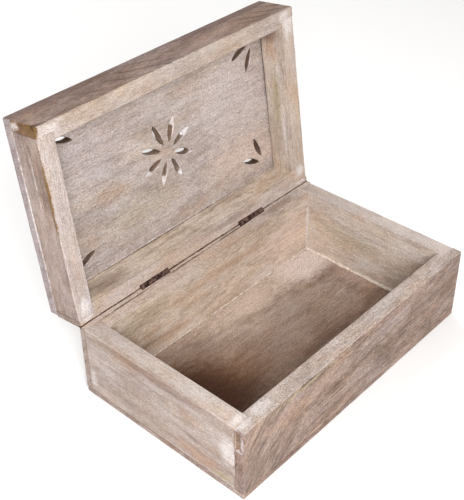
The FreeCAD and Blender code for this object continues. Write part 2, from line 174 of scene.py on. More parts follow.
# %% [markdown]
# ## Finishes
# A finish is a material made of nodes. Writing node by node is long, so a small class adds a node, sets
# its values and gives its output back. A socket that never changes over the surface is set directly on
# the shader. The colour sockets of a Mix node share their names with its number sockets, so they are
# found by their number.

# %% A short way to write node materials
MIX_INPUTS = (0, 6, 7)
MIX_OUTPUT = 2


class Finish:
    """A material, with short ways to add its nodes."""

    def __init__(self, name):
        self.material = bpy.data.materials.new(name)
        self.material.use_nodes = True
        self.tree = self.material.node_tree
        self.shader = self.tree.nodes["Principled BSDF"]

    def feed(self, socket, value):
        """Link an output to a socket, or set a plain value on it."""
        if isinstance(value, bpy.types.NodeSocket):
            self.tree.links.new(value, socket)
        else:
            socket.default_value = value

    def node(self, kind, inputs=(), **settings):
        """Add a node with its settings and the values of its inputs, by name or number."""
        node = self.tree.nodes.new(kind)
        for key, value in settings.items():
            setattr(node, key, value)
        for key, value in dict(inputs).items():
            self.feed(node.inputs[key], value)
        return node

    def math(self, operation, *values):
        """Work out a number."""
        return self.node("ShaderNodeMath", enumerate(values), operation=operation).outputs[0]

    def times(self, one, other):
        """Multiply two numbers."""
        return self.math("MULTIPLY", one, other)

    def weigh(self, patterns, shares):
        """Add up named patterns, each times its share."""
        total = 0.0
        for name, share in shares.items():
            total = self.math("MULTIPLY_ADD", patterns[name], share, total)
        return total

    def vector(self, operation, *values):
        """Work out a vector, or a number such as a dot product."""
        node = self.node("ShaderNodeVectorMath", enumerate(values), operation=operation)
        return node.outputs["Value" if operation in ("DOT_PRODUCT", "LENGTH") else "Vector"]

    def spread(self, value, low, high, start=0.0, end=1.0):
        """Bring a stretch of values softly to another stretch."""
        inputs = {"Value": value, "From Min": low, "From Max": high, "To Min": start, "To Max": end}
        node = self.node("ShaderNodeMapRange", inputs, interpolation_type="SMOOTHSTEP")
        return node.outputs["Result"]

    def mapped(self, place, **inputs):
        """Move, turn or scale a place."""
        return self.node("ShaderNodeMapping", {"Vector": place, **inputs}).outputs["Vector"]

    def noise(self, place, detail=2.0, roughness=0.5, distortion=0.0):
        """Add soft noise of about one patch per unit."""
        inputs = {"Vector": place, "Scale": 1.0, "Detail": detail,
                  "Roughness": roughness, "Distortion": distortion}
        return self.node("ShaderNodeTexNoise", inputs).outputs["Fac"]

    def patches(self, size, start=0.0, detail=4.0, roughness=0.7):
        """Add noise with patches of a size, fixed to the piece."""
        place = self.node("ShaderNodeTexCoord").outputs["Object"]
        place = self.mapped(place, Location=(start,) * 3, Scale=(1 / size,) * 3)
        return self.noise(place, detail, roughness)

    def ramp(self, factor, *stops):
        """Colour a number between two stops, each a place and a colour."""
        node = self.node("ShaderNodeValToRGB", {"Fac": factor})
        for element, (place, colour) in zip(node.color_ramp.elements, stops):
            element.position = place
            element.color = (*colour, 1)
        return node.outputs["Color"]

    def mix(self, factor, one, other, blend="MIX"):
        """Mix two colours."""
        node = self.node("ShaderNodeMix", data_type="RGBA", blend_type=blend)
        for number, value in zip(MIX_INPUTS, (factor, one, other)):
            self.feed(node.inputs[number], (*value, 1) if isinstance(value, tuple) else value)
        return node.outputs[MIX_OUTPUT]

    def bump(self, height, distance, strength):
        """Raise the surface by a height."""
        inputs = {"Height": height, "Distance": distance, "Strength": strength}
        return self.node("ShaderNodeBump", inputs).outputs["Normal"]

    def coat(self, sockets):
        """Feed the shader's sockets by name, and give the finished material."""
        for key, value in sockets.items():
            self.feed(self.shader.inputs[key], value)
        return self.material


print("short ways:", [name for name in vars(Finish) if not name.startswith("_")])

# %% [markdown]
# ### Colours
# A colour is easy to judge on a screen, but the numbers of a screen are not amounts of light. Blender
# mixes light, so every tone is written as it looks and turned into light by one short function.

# %% Read colours as a screen shows them
SCREEN_WHITE = 255
SCREEN_LIFT = 0.055
SCREEN_POWER = 2.4


def paint(red, green, blue):
    """Turn a colour as it looks on a screen, from 0 to 255, into light."""
    parts = [(part / SCREEN_WHITE + SCREEN_LIFT) / (1 + SCREEN_LIFT) for part in (red, green, blue)]
    return tuple(math.pow(part, SCREEN_POWER) for part in parts)


print("a pale paint as light:", [round(c, 3) for c in paint(206, 190, 170)])

# %% [markdown]
# ## Floor
# The box stands on a plain pale floor, which is not a part of it. A plane of dull paper is enough to catch its
# shadow.

# %% Lay the floor
FLOOR_SIZE = 8.0
PAPER_COLOUR = (0.93, 0.93, 0.93, 1)
PAPER_ROUGHNESS = 0.9
bpy.ops.object.select_all(action="DESELECT")
bpy.ops.mesh.primitive_plane_add(size=FLOOR_SIZE)
floor = bpy.context.object
floor.name = "studio_floor"
paper = Finish("studio_paper")
floor.data.materials.append(paper.coat({"Base Color": PAPER_COLOUR, "Roughness": PAPER_ROUGHNESS}))
print("floor laid, in metres:", FLOOR_SIZE)

# %% [markdown]
# ## Boards
# The real boards were sawn, planed and rubbed down by hand, so no edge is sharp and none is straight. A
# bevel modifier with one width would round all edges alike. Here each edge gets its own width: wide
# where a hand reaches both faces, and narrow where one face is hidden in a joint, which leaves a fine
# dark line between two boards.

# %% Tools of the joiner's bench


def choose(piece):
    """Select one piece alone."""
    bpy.ops.object.select_all(action="DESELECT")
    piece.select_set(True)
    bpy.context.view_layer.objects.active = piece


def plank(name, low, high):
    """Saw a square plank between two corners."""
    bpy.ops.object.select_all(action="DESELECT")
    bpy.ops.mesh.primitive_cube_add(size=1, location=(low + high) / 2, scale=high - low)
    bpy.ops.object.transform_apply(location=True, rotation=True, scale=True)
    piece = bpy.context.object
    piece.name = name
    return piece


def saw(piece, cuts, drop=False):
    """Cut a piece along planes, each a point and a normal, and drop what lies beyond them if asked."""
    choose(piece)
    bpy.ops.object.mode_set(mode="EDIT")
    for point, normal in cuts:
        bpy.ops.mesh.select_all(action="SELECT")
        bpy.ops.mesh.bisect(plane_co=point, plane_no=normal, use_fill=drop, clear_outer=drop)
    bpy.ops.object.mode_set(mode="OBJECT")


def draw_out(piece, wanted, move):
    """Extrude the faces whose middle and normal are wanted."""
    choose(piece)
    bpy.ops.object.mode_set(mode="EDIT")
    bpy.ops.mesh.select_mode(type="FACE")
    bpy.ops.mesh.select_all(action="DESELECT")
    mesh = bmesh.from_edit_mesh(piece.data)
    for face in mesh.faces:
        face.select_set(wanted(face.calc_center_median(), face.normal))
    bmesh.update_edit_mesh(piece.data)
    bpy.ops.mesh.extrude_region_move(TRANSFORM_OT_translate={"value": move})
    bpy.ops.object.mode_set(mode="OBJECT")


def shape(piece, kind, **settings):
    """Add a modifier to a piece, set it and apply it."""
    choose(piece)
    modifier = piece.modifiers.new(kind.lower(), kind)
    for key, value in settings.items():
        setattr(modifier, key, value)
    bpy.ops.object.modifier_apply(modifier=modifier.name)


def cut_away(piece, cutter, operation="DIFFERENCE"):
    """Take the shape of a cutter out of a piece, or keep what they share, and drop the cutter."""
    shape(piece, "BOOLEAN", object=cutter, operation=operation)
    bpy.data.objects.remove(cutter)


def copy_of(piece, name):
    """Copy a piece, with a mesh of its own."""
    copy = bpy.data.objects.new(name, piece.data.copy())
    bpy.context.collection.objects.link(copy)
    return copy


def join(pieces):
    """Join pieces into the first of them."""
    choose(pieces[0])
    for piece in pieces:
        piece.select_set(True)
    bpy.ops.object.join()
    return pieces[0]


print("bench ready")

# %% [markdown]
# ### Where a board is hidden
# A face that lies against another board must stay where it is, or light would leak through the joint.
# The walls and the panels meet in known planes, so a point and a normal are enough to say that a face
# is hidden.

# %% Say which faces a joint hides
FACES = {"left": Vector((-1, 0, 0)), "right": Vector((1, 0, 0)), "front": Vector((0, -1, 0)),
         "back": Vector((0, 1, 0)), "down": Vector((0, 0, -1)), "up": Vector((0, 0, 1))}
INNER_LENGTH = flat_box("base_right_wall")[0].x
INNER_DEPTH = flat_box("base_back_wall")[0].y
JOINT_REACH = 0.05 * MM
RABBET_REACH = 12 * MM
FACING = 0.999
LEANING = 0.5


def faces(normal, *sides):
    """Say whether a normal looks to one of these sides."""
    return any(normal.dot(FACES[side]) > FACING for side in sides)


def is_stop(normal):
    """Say whether a face is one of the slanted ones that stop the open lid."""
    return normal.y > LEANING and abs(normal.z) > LEANING


def hidden_in_long_wall(panel_side):
    """Make the test for a front or back wall: its panel side, its rabbets and its rear bevel."""
    def hidden(middle, normal):
        rabbet = abs(middle.x) > INNER_LENGTH - JOINT_REACH and abs(middle.y) < INNER_DEPTH + RABBET_REACH
        inward = abs(middle.x) < cad_box[1].x - JOINT_REACH and not faces(normal, "up", "down")
        outward = normal.y * middle.y > 0
        return is_stop(normal) or faces(normal, panel_side) or (rabbet and inward and not outward)
    return hidden


def hidden_in_end_wall(panel_side):
    """Make the test for an end wall: the panel's side, and both ends in the rabbets."""
    def hidden(middle, normal):
        in_rabbet = abs(middle.y) > INNER_DEPTH and normal.x * middle.x < -JOINT_REACH
        return in_rabbet or faces(normal, panel_side, "front", "back")
    return hidden


def hidden_in_panel(wall_side):
    """Make the test for a panel: the border under the walls."""
    def hidden(middle, normal):
        border = abs(middle.x) > INNER_LENGTH or abs(middle.y) > INNER_DEPTH
        return faces(normal, wall_side) and border
    return hidden


print("inside of the box in mm:", in_mm((2 * INNER_LENGTH, 2 * INNER_DEPTH)))

# %% [markdown]
# ### Edges
# Sanding rounds an open edge most and a joint least. The bevel modifier can follow a weight on each
# edge, so the weights are set first, from what the tests above call hidden, and one modifier then
# rounds them all.

# %% Ease the edges of a board
EASE_WIDTH = 1.0 * MM
EASE_STEPS = 2
OPEN_EDGE_EASE = 0.9
JOINT_EDGE_EASE = 0.3
RIM_JOINT_EASE = 0.05
SEAM_EASE = 0.6
FLAT_EDGE = math.radians(25)


def ease_edges(piece, hidden, inner_gap):
    """Round the edges of a board, joints the least, and give the joint inside the box its own gap."""
    mesh = bmesh.new()
    mesh.from_mesh(piece.data)
    weight = mesh.edges.layers.float.new("bevel_weight_edge")
    for edge in mesh.edges:
        if edge.is_convex and edge.calc_face_angle() > FLAT_EDGE:
            shown = [face for face in edge.link_faces if not hidden(face.calc_center_median(), face.normal)]
            edge[weight] = (0, JOINT_EDGE_EASE, OPEN_EDGE_EASE)[len(shown)]
            if any(is_stop(face.normal) for face in edge.link_faces):
                edge[weight] = SEAM_EASE
            elif len(shown) == 1 and faces(shown[0].normal, "up", "down"):
                edge[weight] = RIM_JOINT_EASE
            elif len(shown) == 1 and shown[0].normal.xy.dot(shown[0].calc_center_median().xy) < 0:
                edge[weight] = inner_gap
    mesh.to_mesh(piece.data)
    mesh.free()
    shape(piece, "BEVEL", limit_method="WEIGHT", width=EASE_WIDTH, segments=EASE_STEPS)


print("open edges are eased by, in mm:", in_mm([EASE_WIDTH * OPEN_EDGE_EASE]))

# %% [markdown]
# ### Wear
# Wear needs points to move, so each board is first cut into a fine grid. A cloud pattern then rubs the
# open faces a little and the edges more, always inward, so that a board never grows beyond its packed
# size.

# %% Divide and wear a board
GRID_STEP = 3.5 * MM
FACE_WEAR = 0.22
EDGE_WEAR = 3.0
WEAR_DEPTH = 0.75 * MM
WEAR_PATCH = 9 * MM
WEAR_DETAIL = 3


def cloud_pattern(name, patch, detail):
    """Make a pattern of soft patches."""
    pattern = bpy.data.textures.new(name, "CLOUDS")
    pattern.noise_scale = patch
    pattern.noise_depth = detail
    return pattern


wear_pattern = cloud_pattern("wear_pattern", WEAR_PATCH, WEAR_DETAIL)


def divide(piece):
    """Cut a board into a fine grid."""
    corners = [vertex.co for vertex in piece.data.vertices]
    cuts = []
    for axis, side in enumerate(("right", "back", "up")):
        low = min(corner[axis] for corner in corners)
        high = max(corner[axis] for corner in corners)
        count = math.ceil((high - low) / GRID_STEP)
        for step in range(1, count):
            cuts.append((FACES[side] * (low + (high - low) * step / count), FACES[side]))
    saw(piece, cuts)


def wear_down(piece, hidden):
    """Rub a board's open faces a little and its edges more, in patches."""
    worn = piece.vertex_groups.new(name="worn")
    mesh = bmesh.new()
    mesh.from_mesh(piece.data)
    for vertex in mesh.verts:
        if not any(hidden(face.calc_center_median(), face.normal) for face in vertex.link_faces):
            lean = 1 - max(abs(part) for part in vertex.normal)
            worn.add([vertex.index], min(1, FACE_WEAR + EDGE_WEAR * lean), "REPLACE")
    mesh.free()
    shape(piece, "DISPLACE", texture=wear_pattern, texture_coords="LOCAL", vertex_group=worn.name,
          mid_level=0, strength=-WEAR_DEPTH)


print("edges wear by up to, in mm:", in_mm([WEAR_DEPTH]))

# %% [markdown]
# ### From the bench to the box
# A finished board is swung to its place on the open box, hung on an empty that stands for the body it moves with,
# and the packed piece it replaces is hidden. All boards go through the same steps, so one function does them.

# %% Finish a board and put it in its place
SMOOTH_ANGLE = math.radians(38)


def hang(piece, node):
    """Put a finished piece in its place: smooth, on its body, instead of its node."""
    choose(piece)
    bpy.ops.object.shade_smooth_by_angle(angle=SMOOTH_ANGLE)
    piece.data.transform(home(node).inverted())
    piece.data.name = piece.name
    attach(piece, BODY_OF[node])
    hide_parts(node)


def finish_board(piece, node, hidden, cutters=(), inner_gap=JOINT_EDGE_EASE):
    """Take a rough board through all steps, and cut its late marks with fresh edges."""
    ease_edges(piece, hidden, inner_gap)
    divide(piece)
    wear_down(piece, hidden)
    for cutter in cutters:
        cut_away(piece, cutter)
    hang(piece, node)
    print(piece.name, "has", len(piece.data.polygons), "faces")


print("faces look smooth up to, in degrees:", round(math.degrees(SMOOTH_ANGLE)))

# %% [markdown]
# ### Long walls
# The front and back walls run the whole length, and a rabbet at each end takes the end walls. A plank
# as thick as the lip is cut at the rabbets, and its middle is drawn out to the full thickness, which
# leaves no seam on the outside.

# %% Tools for the long walls
FRONT_LIP = 7.0 * MM
BACK_LIP = 4.5 * MM
BEVEL_LEAN = math.radians(49)
STOP_GAP = 0.02 * MM
NOTCH_RADIUS = 2.3 * MM
NOTCH_END_GAP = 0.4 * MM
NOTCH_SIDES = 48
LEAVES = ("left_hinge_base_leaf", "right_hinge_base_leaf")


def long_wall(name, node, lip, outside):
    """Make a wall with a rabbet at each end."""
    low, high = flat_box(node)
    depth = high.y - low.y - lip
    inside = "back" if outside == "front" else "front"
    plank_low, plank_high = low.copy(), high.copy()
    if outside == "front":
        plank_high.y = low.y + lip
    else:
        plank_low.y = high.y - lip
    wall = plank(name, plank_low, plank_high)
    saw(wall, [(FACES["right"] * side * INNER_LENGTH, FACES["right"]) for side in (-1, 1)])

    def between_rabbets(middle, normal):
        return faces(normal, inside) and abs(middle.x) < INNER_LENGTH

    draw_out(wall, between_rabbets, FACES[inside] * depth)
    return wall


def bevel_and_notch(wall, rim_side):
    """Plane the rear edge that stops the lid, and clear a notch for each hinge barrel."""
    looks = FACES["back"] * math.sin(BEVEL_LEAN) + FACES[rim_side] * math.cos(BEVEL_LEAN)
    saw(wall, [(PIN - looks * STOP_GAP, looks)], drop=True)
    for leaf in LEAVES:
        low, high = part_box(leaf)
        middle = Vector(((low[0] + high[0]) / 2, PIN.y, PIN.z))
        length = high[0] - low[0] + 2 * NOTCH_END_GAP
        bpy.ops.mesh.primitive_cylinder_add(vertices=NOTCH_SIDES, radius=NOTCH_RADIUS, depth=length,
                                            location=middle, rotation=(0, math.pi / 2, 0))
        cut_away(wall, bpy.context.object)


print("rear edges lean by, in degrees:", round(math.degrees(BEVEL_LEAN)))

# %% [markdown]
# ### Front walls
# The front wall of the base has lost a splinter at its left end. It is cut out in two steps, deep
# beside the end wall and shallow at the corner, and it is cut after the wear, so its edges look fresh.

# %% Make the front walls
CHIP_LOW, CHIP_HIGH = 39 * MM, 54.4 * MM
CHIP_START, CHIP_STEP, CHIP_END = -62.3 * MM, -66.3 * MM, -71 * MM
CHIP_OUTSIDE, CHIP_DEEP, CHIP_SHALLOW = -116 * MM, -113.0 * MM, -114.0 * MM
CHIPS = {"deep_chip": (CHIP_STEP, CHIP_START, CHIP_DEEP),
         "shallow_chip": (CHIP_END, CHIP_STEP, CHIP_SHALLOW)}
chips = [plank(name, Vector((CHIP_OUTSIDE, front, CHIP_LOW)), Vector((depth, back, CHIP_HIGH)))
         for name, (front, back, depth) in CHIPS.items()]
base_front_board = long_wall("base_front_board", "base_front_wall", FRONT_LIP, "front")
finish_board(base_front_board, "base_front_wall", hidden_in_long_wall("down"), cutters=chips)
lid_front_board = long_wall("lid_front_board", "lid_front_wall", FRONT_LIP, "front")
finish_board(lid_front_board, "lid_front_wall", hidden_in_long_wall("up"))

# %% [markdown]
# ### Back walls
# The maker scribed a line along the rim of the base with a marking gauge, to set the hinges. Such a
# fine groove is easier to press in than to cut out: three saw cuts lie side by side, and the points of
# the middle one go down.

# %% Make the back walls
GAUGE_START = -104 * MM
GAUGE_END = 62 * MM
GAUGE_INSET = 2.8 * MM
GAUGE_LEAN = 0.013
GAUGE_HALF_WIDTH = 0.5 * MM
GAUGE_DEPTH = 0.8 * MM
LID_BACK_GAP = 0.6


def scribe_line(board, y, rim):
    """Scribe a line along the rim of a board."""
    end = Vector((GAUGE_END, y, rim))
    across = Vector((-GAUGE_LEAN, 1, 0)).normalized()
    saw(board, [(end + across * GAUGE_HALF_WIDTH * side, across) for side in (-1, 0, 1)])
    for vertex in board.data.vertices:
        beside = abs((vertex.co - end).dot(across))
        on_line = beside < JOINT_REACH and GAUGE_START < vertex.co.x < GAUGE_END
        if on_line and vertex.co.z > rim - GAUGE_DEPTH:
            vertex.co.z -= GAUGE_DEPTH


base_back_board = long_wall("base_back_board", "base_back_wall", BACK_LIP, "back")
bevel_and_notch(base_back_board, "up")
finish_board(base_back_board, "base_back_wall", hidden_in_long_wall("down"))
base_back_corner = flat_box("base_back_wall")[1]
scribe_line(base_back_board, base_back_corner.y - GAUGE_INSET, base_back_corner.z)
lid_back_board = long_wall("lid_back_board", "lid_back_wall", BACK_LIP, "back")
bevel_and_notch(lid_back_board, "down")
finish_board(lid_back_board, "lid_back_wall", hidden_in_long_wall("up"), inner_gap=LID_BACK_GAP)

# %% [markdown]
# ### End walls and panels
# The end walls are square boards that sit in the rabbets, and the bottom panel closes the base from
# below. A plain plank is enough for each. A saw cut where a rabbet begins parts the ends of a wall from
# its middle, so that only they count as hidden.

# %% Make the end walls and the bottom panel
LID_RIGHT_GAP = 1.7
END_WALLS = {"base_left_board": ("base_left_wall", "down"), "base_right_board": ("base_right_wall", "down"),
             "lid_left_board": ("lid_left_wall", "up"), "lid_right_board": ("lid_right_wall", "up")}
for name, (node, panel_side) in END_WALLS.items():
    wall = plank(name, *flat_box(node))
    saw(wall, [(FACES["back"] * side * INNER_DEPTH, FACES["back"]) for side in (-1, 1)])
    gap = LID_RIGHT_GAP if name == "lid_right_board" else JOINT_EDGE_EASE
    finish_board(wall, node, hidden_in_end_wall(panel_side), inner_gap=gap)
base_floor_board = plank("base_floor_board", *flat_box("base_bottom_panel"))
finish_board(base_floor_board, "base_bottom_panel", hidden_in_panel("up"))

# %% [markdown]
# ### Pierced lid panel
# A flower of eight petals is sawn through the middle of the lid, and two petals of the same shape point
# inward from each corner. A petal is where two circles overlap, so one petal cutter is the overlap of
# two cylinders. Its mouths flare a little, because the sawn edges were sanded. Below the surface its
# outer point is drawn in, which leaves the slope of a chip there. It is modelled once and copied, each
# copy a little different.

# %% Make one petal cutter
PETAL_COUNT = 8
PETAL_LENGTH = 18.5 * MM
PETAL_WIDTH = 4.3 * MM
PETAL_INNER_RADIUS = 6.6 * MM
CORNER_INSETS = {-1: 4.8 * MM, 1: 7.6 * MM}
CORNER_DEPTH = 8.0 * MM
ARC_RADIUS = (PETAL_LENGTH ** 2 + PETAL_WIDTH ** 2) / (4 * PETAL_WIDTH)
ARC_SIDES = 160
MOUTH_FLARE = 0.75 * MM
MOUTH_DEPTH = 0.9 * MM
POINT_DEPTH = 2.6 * MM
SAW_MARGIN = 0.2 * MM
panel_low, panel_high = flat_box("lid_top_panel")
panel_thickness = panel_high.z - panel_low.z
saw_depth = panel_thickness + SAW_MARGIN


def half_petal(side):
    """Add one of the two cylinders whose overlap is a petal."""
    offset = side * (ARC_RADIUS - PETAL_WIDTH / 2)
    bpy.ops.object.select_all(action="DESELECT")
    bpy.ops.mesh.primitive_cylinder_add(vertices=ARC_SIDES, radius=ARC_RADIUS, depth=saw_depth,
                                        location=(0, offset, 0))
    bpy.ops.object.transform_apply()
    return bpy.context.object


petal, other_half = half_petal(1), half_petal(-1)
cut_away(petal, other_half, "INTERSECT")
levels = [panel_thickness / 2 - depth for depth in (MOUTH_DEPTH, POINT_DEPTH)]
saw(petal, [(FACES["up"] * level * side, FACES["up"]) for level in levels for side in (-1, 1)])
for vertex in petal.data.vertices:
    if abs(vertex.co.z) > levels[0] + JOINT_REACH:
        vertex.co.y *= 1 + 2 * MOUTH_FLARE / PETAL_WIDTH
print("petal cutter has", len(petal.data.polygons), "faces")

# %% [markdown]
# The pattern was sawn by hand, so each copy of the cutter is turned, stretched and chipped a little
# differently, from a fixed seed that gives the same panel each time. All copies are joined, and one
# boolean cuts them out together.

# %% Pierce the lid panel
PETAL_SEED = 7
PETAL_TURN = math.radians(1.6)
PETAL_STRETCH = 0.04
PETAL_WIDEN = 0.08
FLOWER_CHIPS = [length * MM for length in (3.0, 4.0, 7.5, 6.0, 2.0, 1.5, 6.0, 8.0)]
CORNER_CHIP = 0.6 * MM
hand = random.Random(PETAL_SEED)
petal_step = 2 * math.pi / PETAL_COUNT
petal_places = [(Vector((0, 0, 0)), petal_step * (number + 0.5), FLOWER_CHIPS[number])
                for number in range(PETAL_COUNT)]
for side_x in (-1, 1):
    for side_y in (-1, 1):
        corner_x = side_x * (INNER_LENGTH - CORNER_INSETS[side_x])
        corner = Vector((corner_x, side_y * (INNER_DEPTH - CORNER_DEPTH), 0))
        inward = math.atan2(-side_y, -side_x)
        petal_places += [(corner, inward + petal_step * part, CORNER_CHIP) for part in (-0.5, 0.5)]
panel_middle = FACES["up"] * (panel_low.z + panel_high.z) / 2
cutters = []
for middle, angle, chip in petal_places:
    cutter = copy_of(petal, "petal_cutter")
    turn = Matrix.Rotation(angle + hand.uniform(-PETAL_TURN, PETAL_TURN), 4, "Z")
    reach = Matrix.Translation((PETAL_INNER_RADIUS + PETAL_LENGTH / 2, 0, 0))
    stretch = Matrix.Diagonal((1 + hand.uniform(-PETAL_STRETCH, PETAL_STRETCH),
                               1 + hand.uniform(-PETAL_WIDEN, PETAL_WIDEN), 1, 1))
    for vertex in cutter.data.vertices:
        deep = min(1, max(0, panel_thickness / 2 - abs(vertex.co.z)) / POINT_DEPTH)
        vertex.co.x -= chip * deep * max(0, 2 * vertex.co.x / PETAL_LENGTH)
    cutter.data.transform(Matrix.Translation(panel_middle + middle) @ turn @ reach @ stretch)
    cutters.append(cutter)
bpy.data.objects.remove(petal)
lid_pierced_board = plank("lid_pierced_board", panel_low, panel_high)
finish_board(lid_pierced_board, "lid_top_panel", hidden_in_panel("down"), [join(cutters)])

# %% [markdown]
# ## Filler
# The maker pressed white filler into the joint of the floor with the right wall, and less into the one
# with the back wall. It was left rough. A square strip is cut down to a wedge that fills the corner,
# and a cloud pattern lifts and lowers it, so in places it is thick and in others it is gone.

# %% Press filler into the floor joints
FILLER_PATCH = 3.2 * MM
FILLER_DETAIL = 2
FILLER_LEVEL = 0.62
FILLER_STEP = 1.2 * MM
RIGHT_BEAD = dict(size=2.2 * MM, rough=2.6 * MM, taper=0.45)
BACK_BEAD = dict(size=0.55 * MM, rough=1.1 * MM, taper=0.2)
filler_pattern = cloud_pattern("filler_pattern", FILLER_PATCH, FILLER_DETAIL)


def filler_bead(name, start, end, inward, size, rough, taper):
    """Fill the corner of the floor and a wall between two points of the joint, thinner at the end."""
    along = (end - start).normalized()
    corner = inward * size + FACES["up"] * size
    low = Vector(map(min, start, end + corner))
    high = Vector(map(max, start, end + corner))
    bead = plank(name, low, high)
    slope = (inward + FACES["up"]).normalized()
    saw(bead, [(start + inward * size, slope)], drop=True)
    count = math.ceil((end - start).length / FILLER_STEP)
    saw(bead, [(start.lerp(end, step / count), along) for step in range(1, count)])
    shape(bead, "DISPLACE", texture=filler_pattern, texture_coords="LOCAL", strength=rough,
          mid_level=FILLER_LEVEL)
    for vertex in bead.data.vertices:
        way = (vertex.co - start).dot(along)
        foot = start + along * way
        vertex.co = foot + (vertex.co - foot) * (1 - taper * way / (end - start).length)
    bpy.ops.object.shade_smooth_by_angle(angle=SMOOTH_ANGLE)
    bead.data.name = name
    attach(bead, "base")
    print(name, "has", len(bead.data.polygons), "faces")
    return bead


floor_top = flat_box("base_bottom_panel")[1].z
right_front = Vector((INNER_LENGTH, -INNER_DEPTH, floor_top))
right_back = Vector((INNER_LENGTH, INNER_DEPTH, floor_top))
left_back = Vector((-INNER_LENGTH, INNER_DEPTH, floor_top))
fillers = [filler_bead("floor_filler_right", right_front, right_back, FACES["left"], **RIGHT_BEAD),
           filler_bead("floor_filler_back", left_back, right_back, FACES["front"], **BACK_BEAD)]

# %% [markdown]
# ## Hinge screws
# Each leaf is held by two countersunk screws with one slot. The head starts as a disc, is drawn down
# into a cone and a shank, and the slot is cut last. One screw is modelled, and copies go to the eight
# places with their slots turned as a hand leaves them.

# %% Model one screw
SCREW_HEAD_RADIUS = 2.15 * MM
SCREW_SHANK_RADIUS = 1.2 * MM
SCREW_HEAD_HEIGHT = 0.95 * MM
SCREW_SHANK_LENGTH = 6.5 * MM
SCREW_POINT_LENGTH = 2.0 * MM
SCREW_POINT_SHARE = 0.2
SLOT_WIDTH = 0.6 * MM
SLOT_DEPTH = 0.55 * MM
SCREW_SIDES = 40
HEAD_EASE = 0.12 * MM
bpy.ops.object.select_all(action="DESELECT")
bpy.ops.mesh.primitive_circle_add(vertices=SCREW_SIDES, radius=SCREW_HEAD_RADIUS, fill_type="NGON")
screw = bpy.context.object
bpy.ops.object.mode_set(mode="EDIT")
bpy.ops.mesh.select_all(action="SELECT")
for length, share in ((SCREW_HEAD_HEIGHT, SCREW_SHANK_RADIUS / SCREW_HEAD_RADIUS), (SCREW_SHANK_LENGTH, 1),
                      (SCREW_POINT_LENGTH, SCREW_POINT_SHARE)):
    bpy.ops.mesh.extrude_region_move(TRANSFORM_OT_translate={"value": (0, 0, -length)})
    bpy.ops.transform.resize(value=(share, share, 1))
bpy.ops.mesh.select_all(action="SELECT")
bpy.ops.mesh.normals_make_consistent(inside=False)
bpy.ops.object.mode_set(mode="OBJECT")
slot_low = Vector((-SLOT_WIDTH / 2, -2 * SCREW_HEAD_RADIUS, -SLOT_DEPTH))
slot_high = Vector((SLOT_WIDTH / 2, 2 * SCREW_HEAD_RADIUS, SLOT_DEPTH))
cut_away(screw, plank("slot_cutter", slot_low, slot_high))
shape(screw, "BEVEL", limit_method="ANGLE", width=HEAD_EASE, segments=EASE_STEPS)
print("screw has", len(screw.data.polygons), "faces")

# %% [markdown]
# A screw stops where it is tight, so no two slots point the same way. Each copy is turned by a seeded
# chance, laid towards the back of the box, and the four screws of a body are joined into one piece.

# %% Drive the screws
SCREW_SPACING = 15 * MM
SCREW_SEED = 5
HEAD_SINK = 0.03 * MM
driver = random.Random(SCREW_SEED)
for name, node in (("base_slotted_screws", "base_hinge_screws"), ("lid_slotted_screws", "lid_hinge_screws")):
    low, high = flat_box(node)
    copies = []
    for leaf in LEAVES:
        leaf_low, leaf_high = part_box(leaf)
        for side in (-0.5, 0.5):
            x = (leaf_low[0] + leaf_high[0]) / 2 + side * SCREW_SPACING
            place = Vector((x, high.y - HEAD_SINK, (low.z + high.z) / 2))
            slot_turn = Matrix.Rotation(driver.uniform(0, math.pi), 4, "Z")
            drive = Matrix.Rotation(-math.pi / 2, 4, "X") @ slot_turn
            copy = copy_of(screw, name)
            copy.data.transform(Matrix.Translation(place) @ drive)
            copies.append(copy)
    hang(join(copies), node)
    print(name, "at, in mm:", in_mm((low + high) / 2))
bpy.data.objects.remove(screw)

# %% [markdown]
# ## Limed wood
# The box is of a light hardwood, rubbed with white lime wax and sanded back, so lime stays in the pores
# and the corners. One function makes the finish of every board. It turns Object coordinates until the
# grain runs along X, in millimetres from the middle of the board, and then adds growth rings round a
# far heart of the tree, soft bands, short strokes, fibres, pores and clouds of lime. Each face of a
# board has its own tone, because planed, sawn and handled faces took the wax differently.

# %% Find the place on a board
DEEP_TINT = (1.0, 0.93, 0.87)
GRAIN_SHIFT = 40
SPOT_CORE, SPOT_END = 0.25, 0.95
CUT_START, CUT_FULL = 0.1, 0.3
CORNER_START, CORNER_FULL = 35, 55
SLOPE_START, SLOPE_FULL = 0.25, 0.5


def shaded(tone, amount):
    """Give a paler or deeper version of a tone."""
    tint = DEEP_TINT if amount < 1 else (1, 1, 1)
    return tuple(min(1, part * amount * share) for part, share in zip(tone, tint))


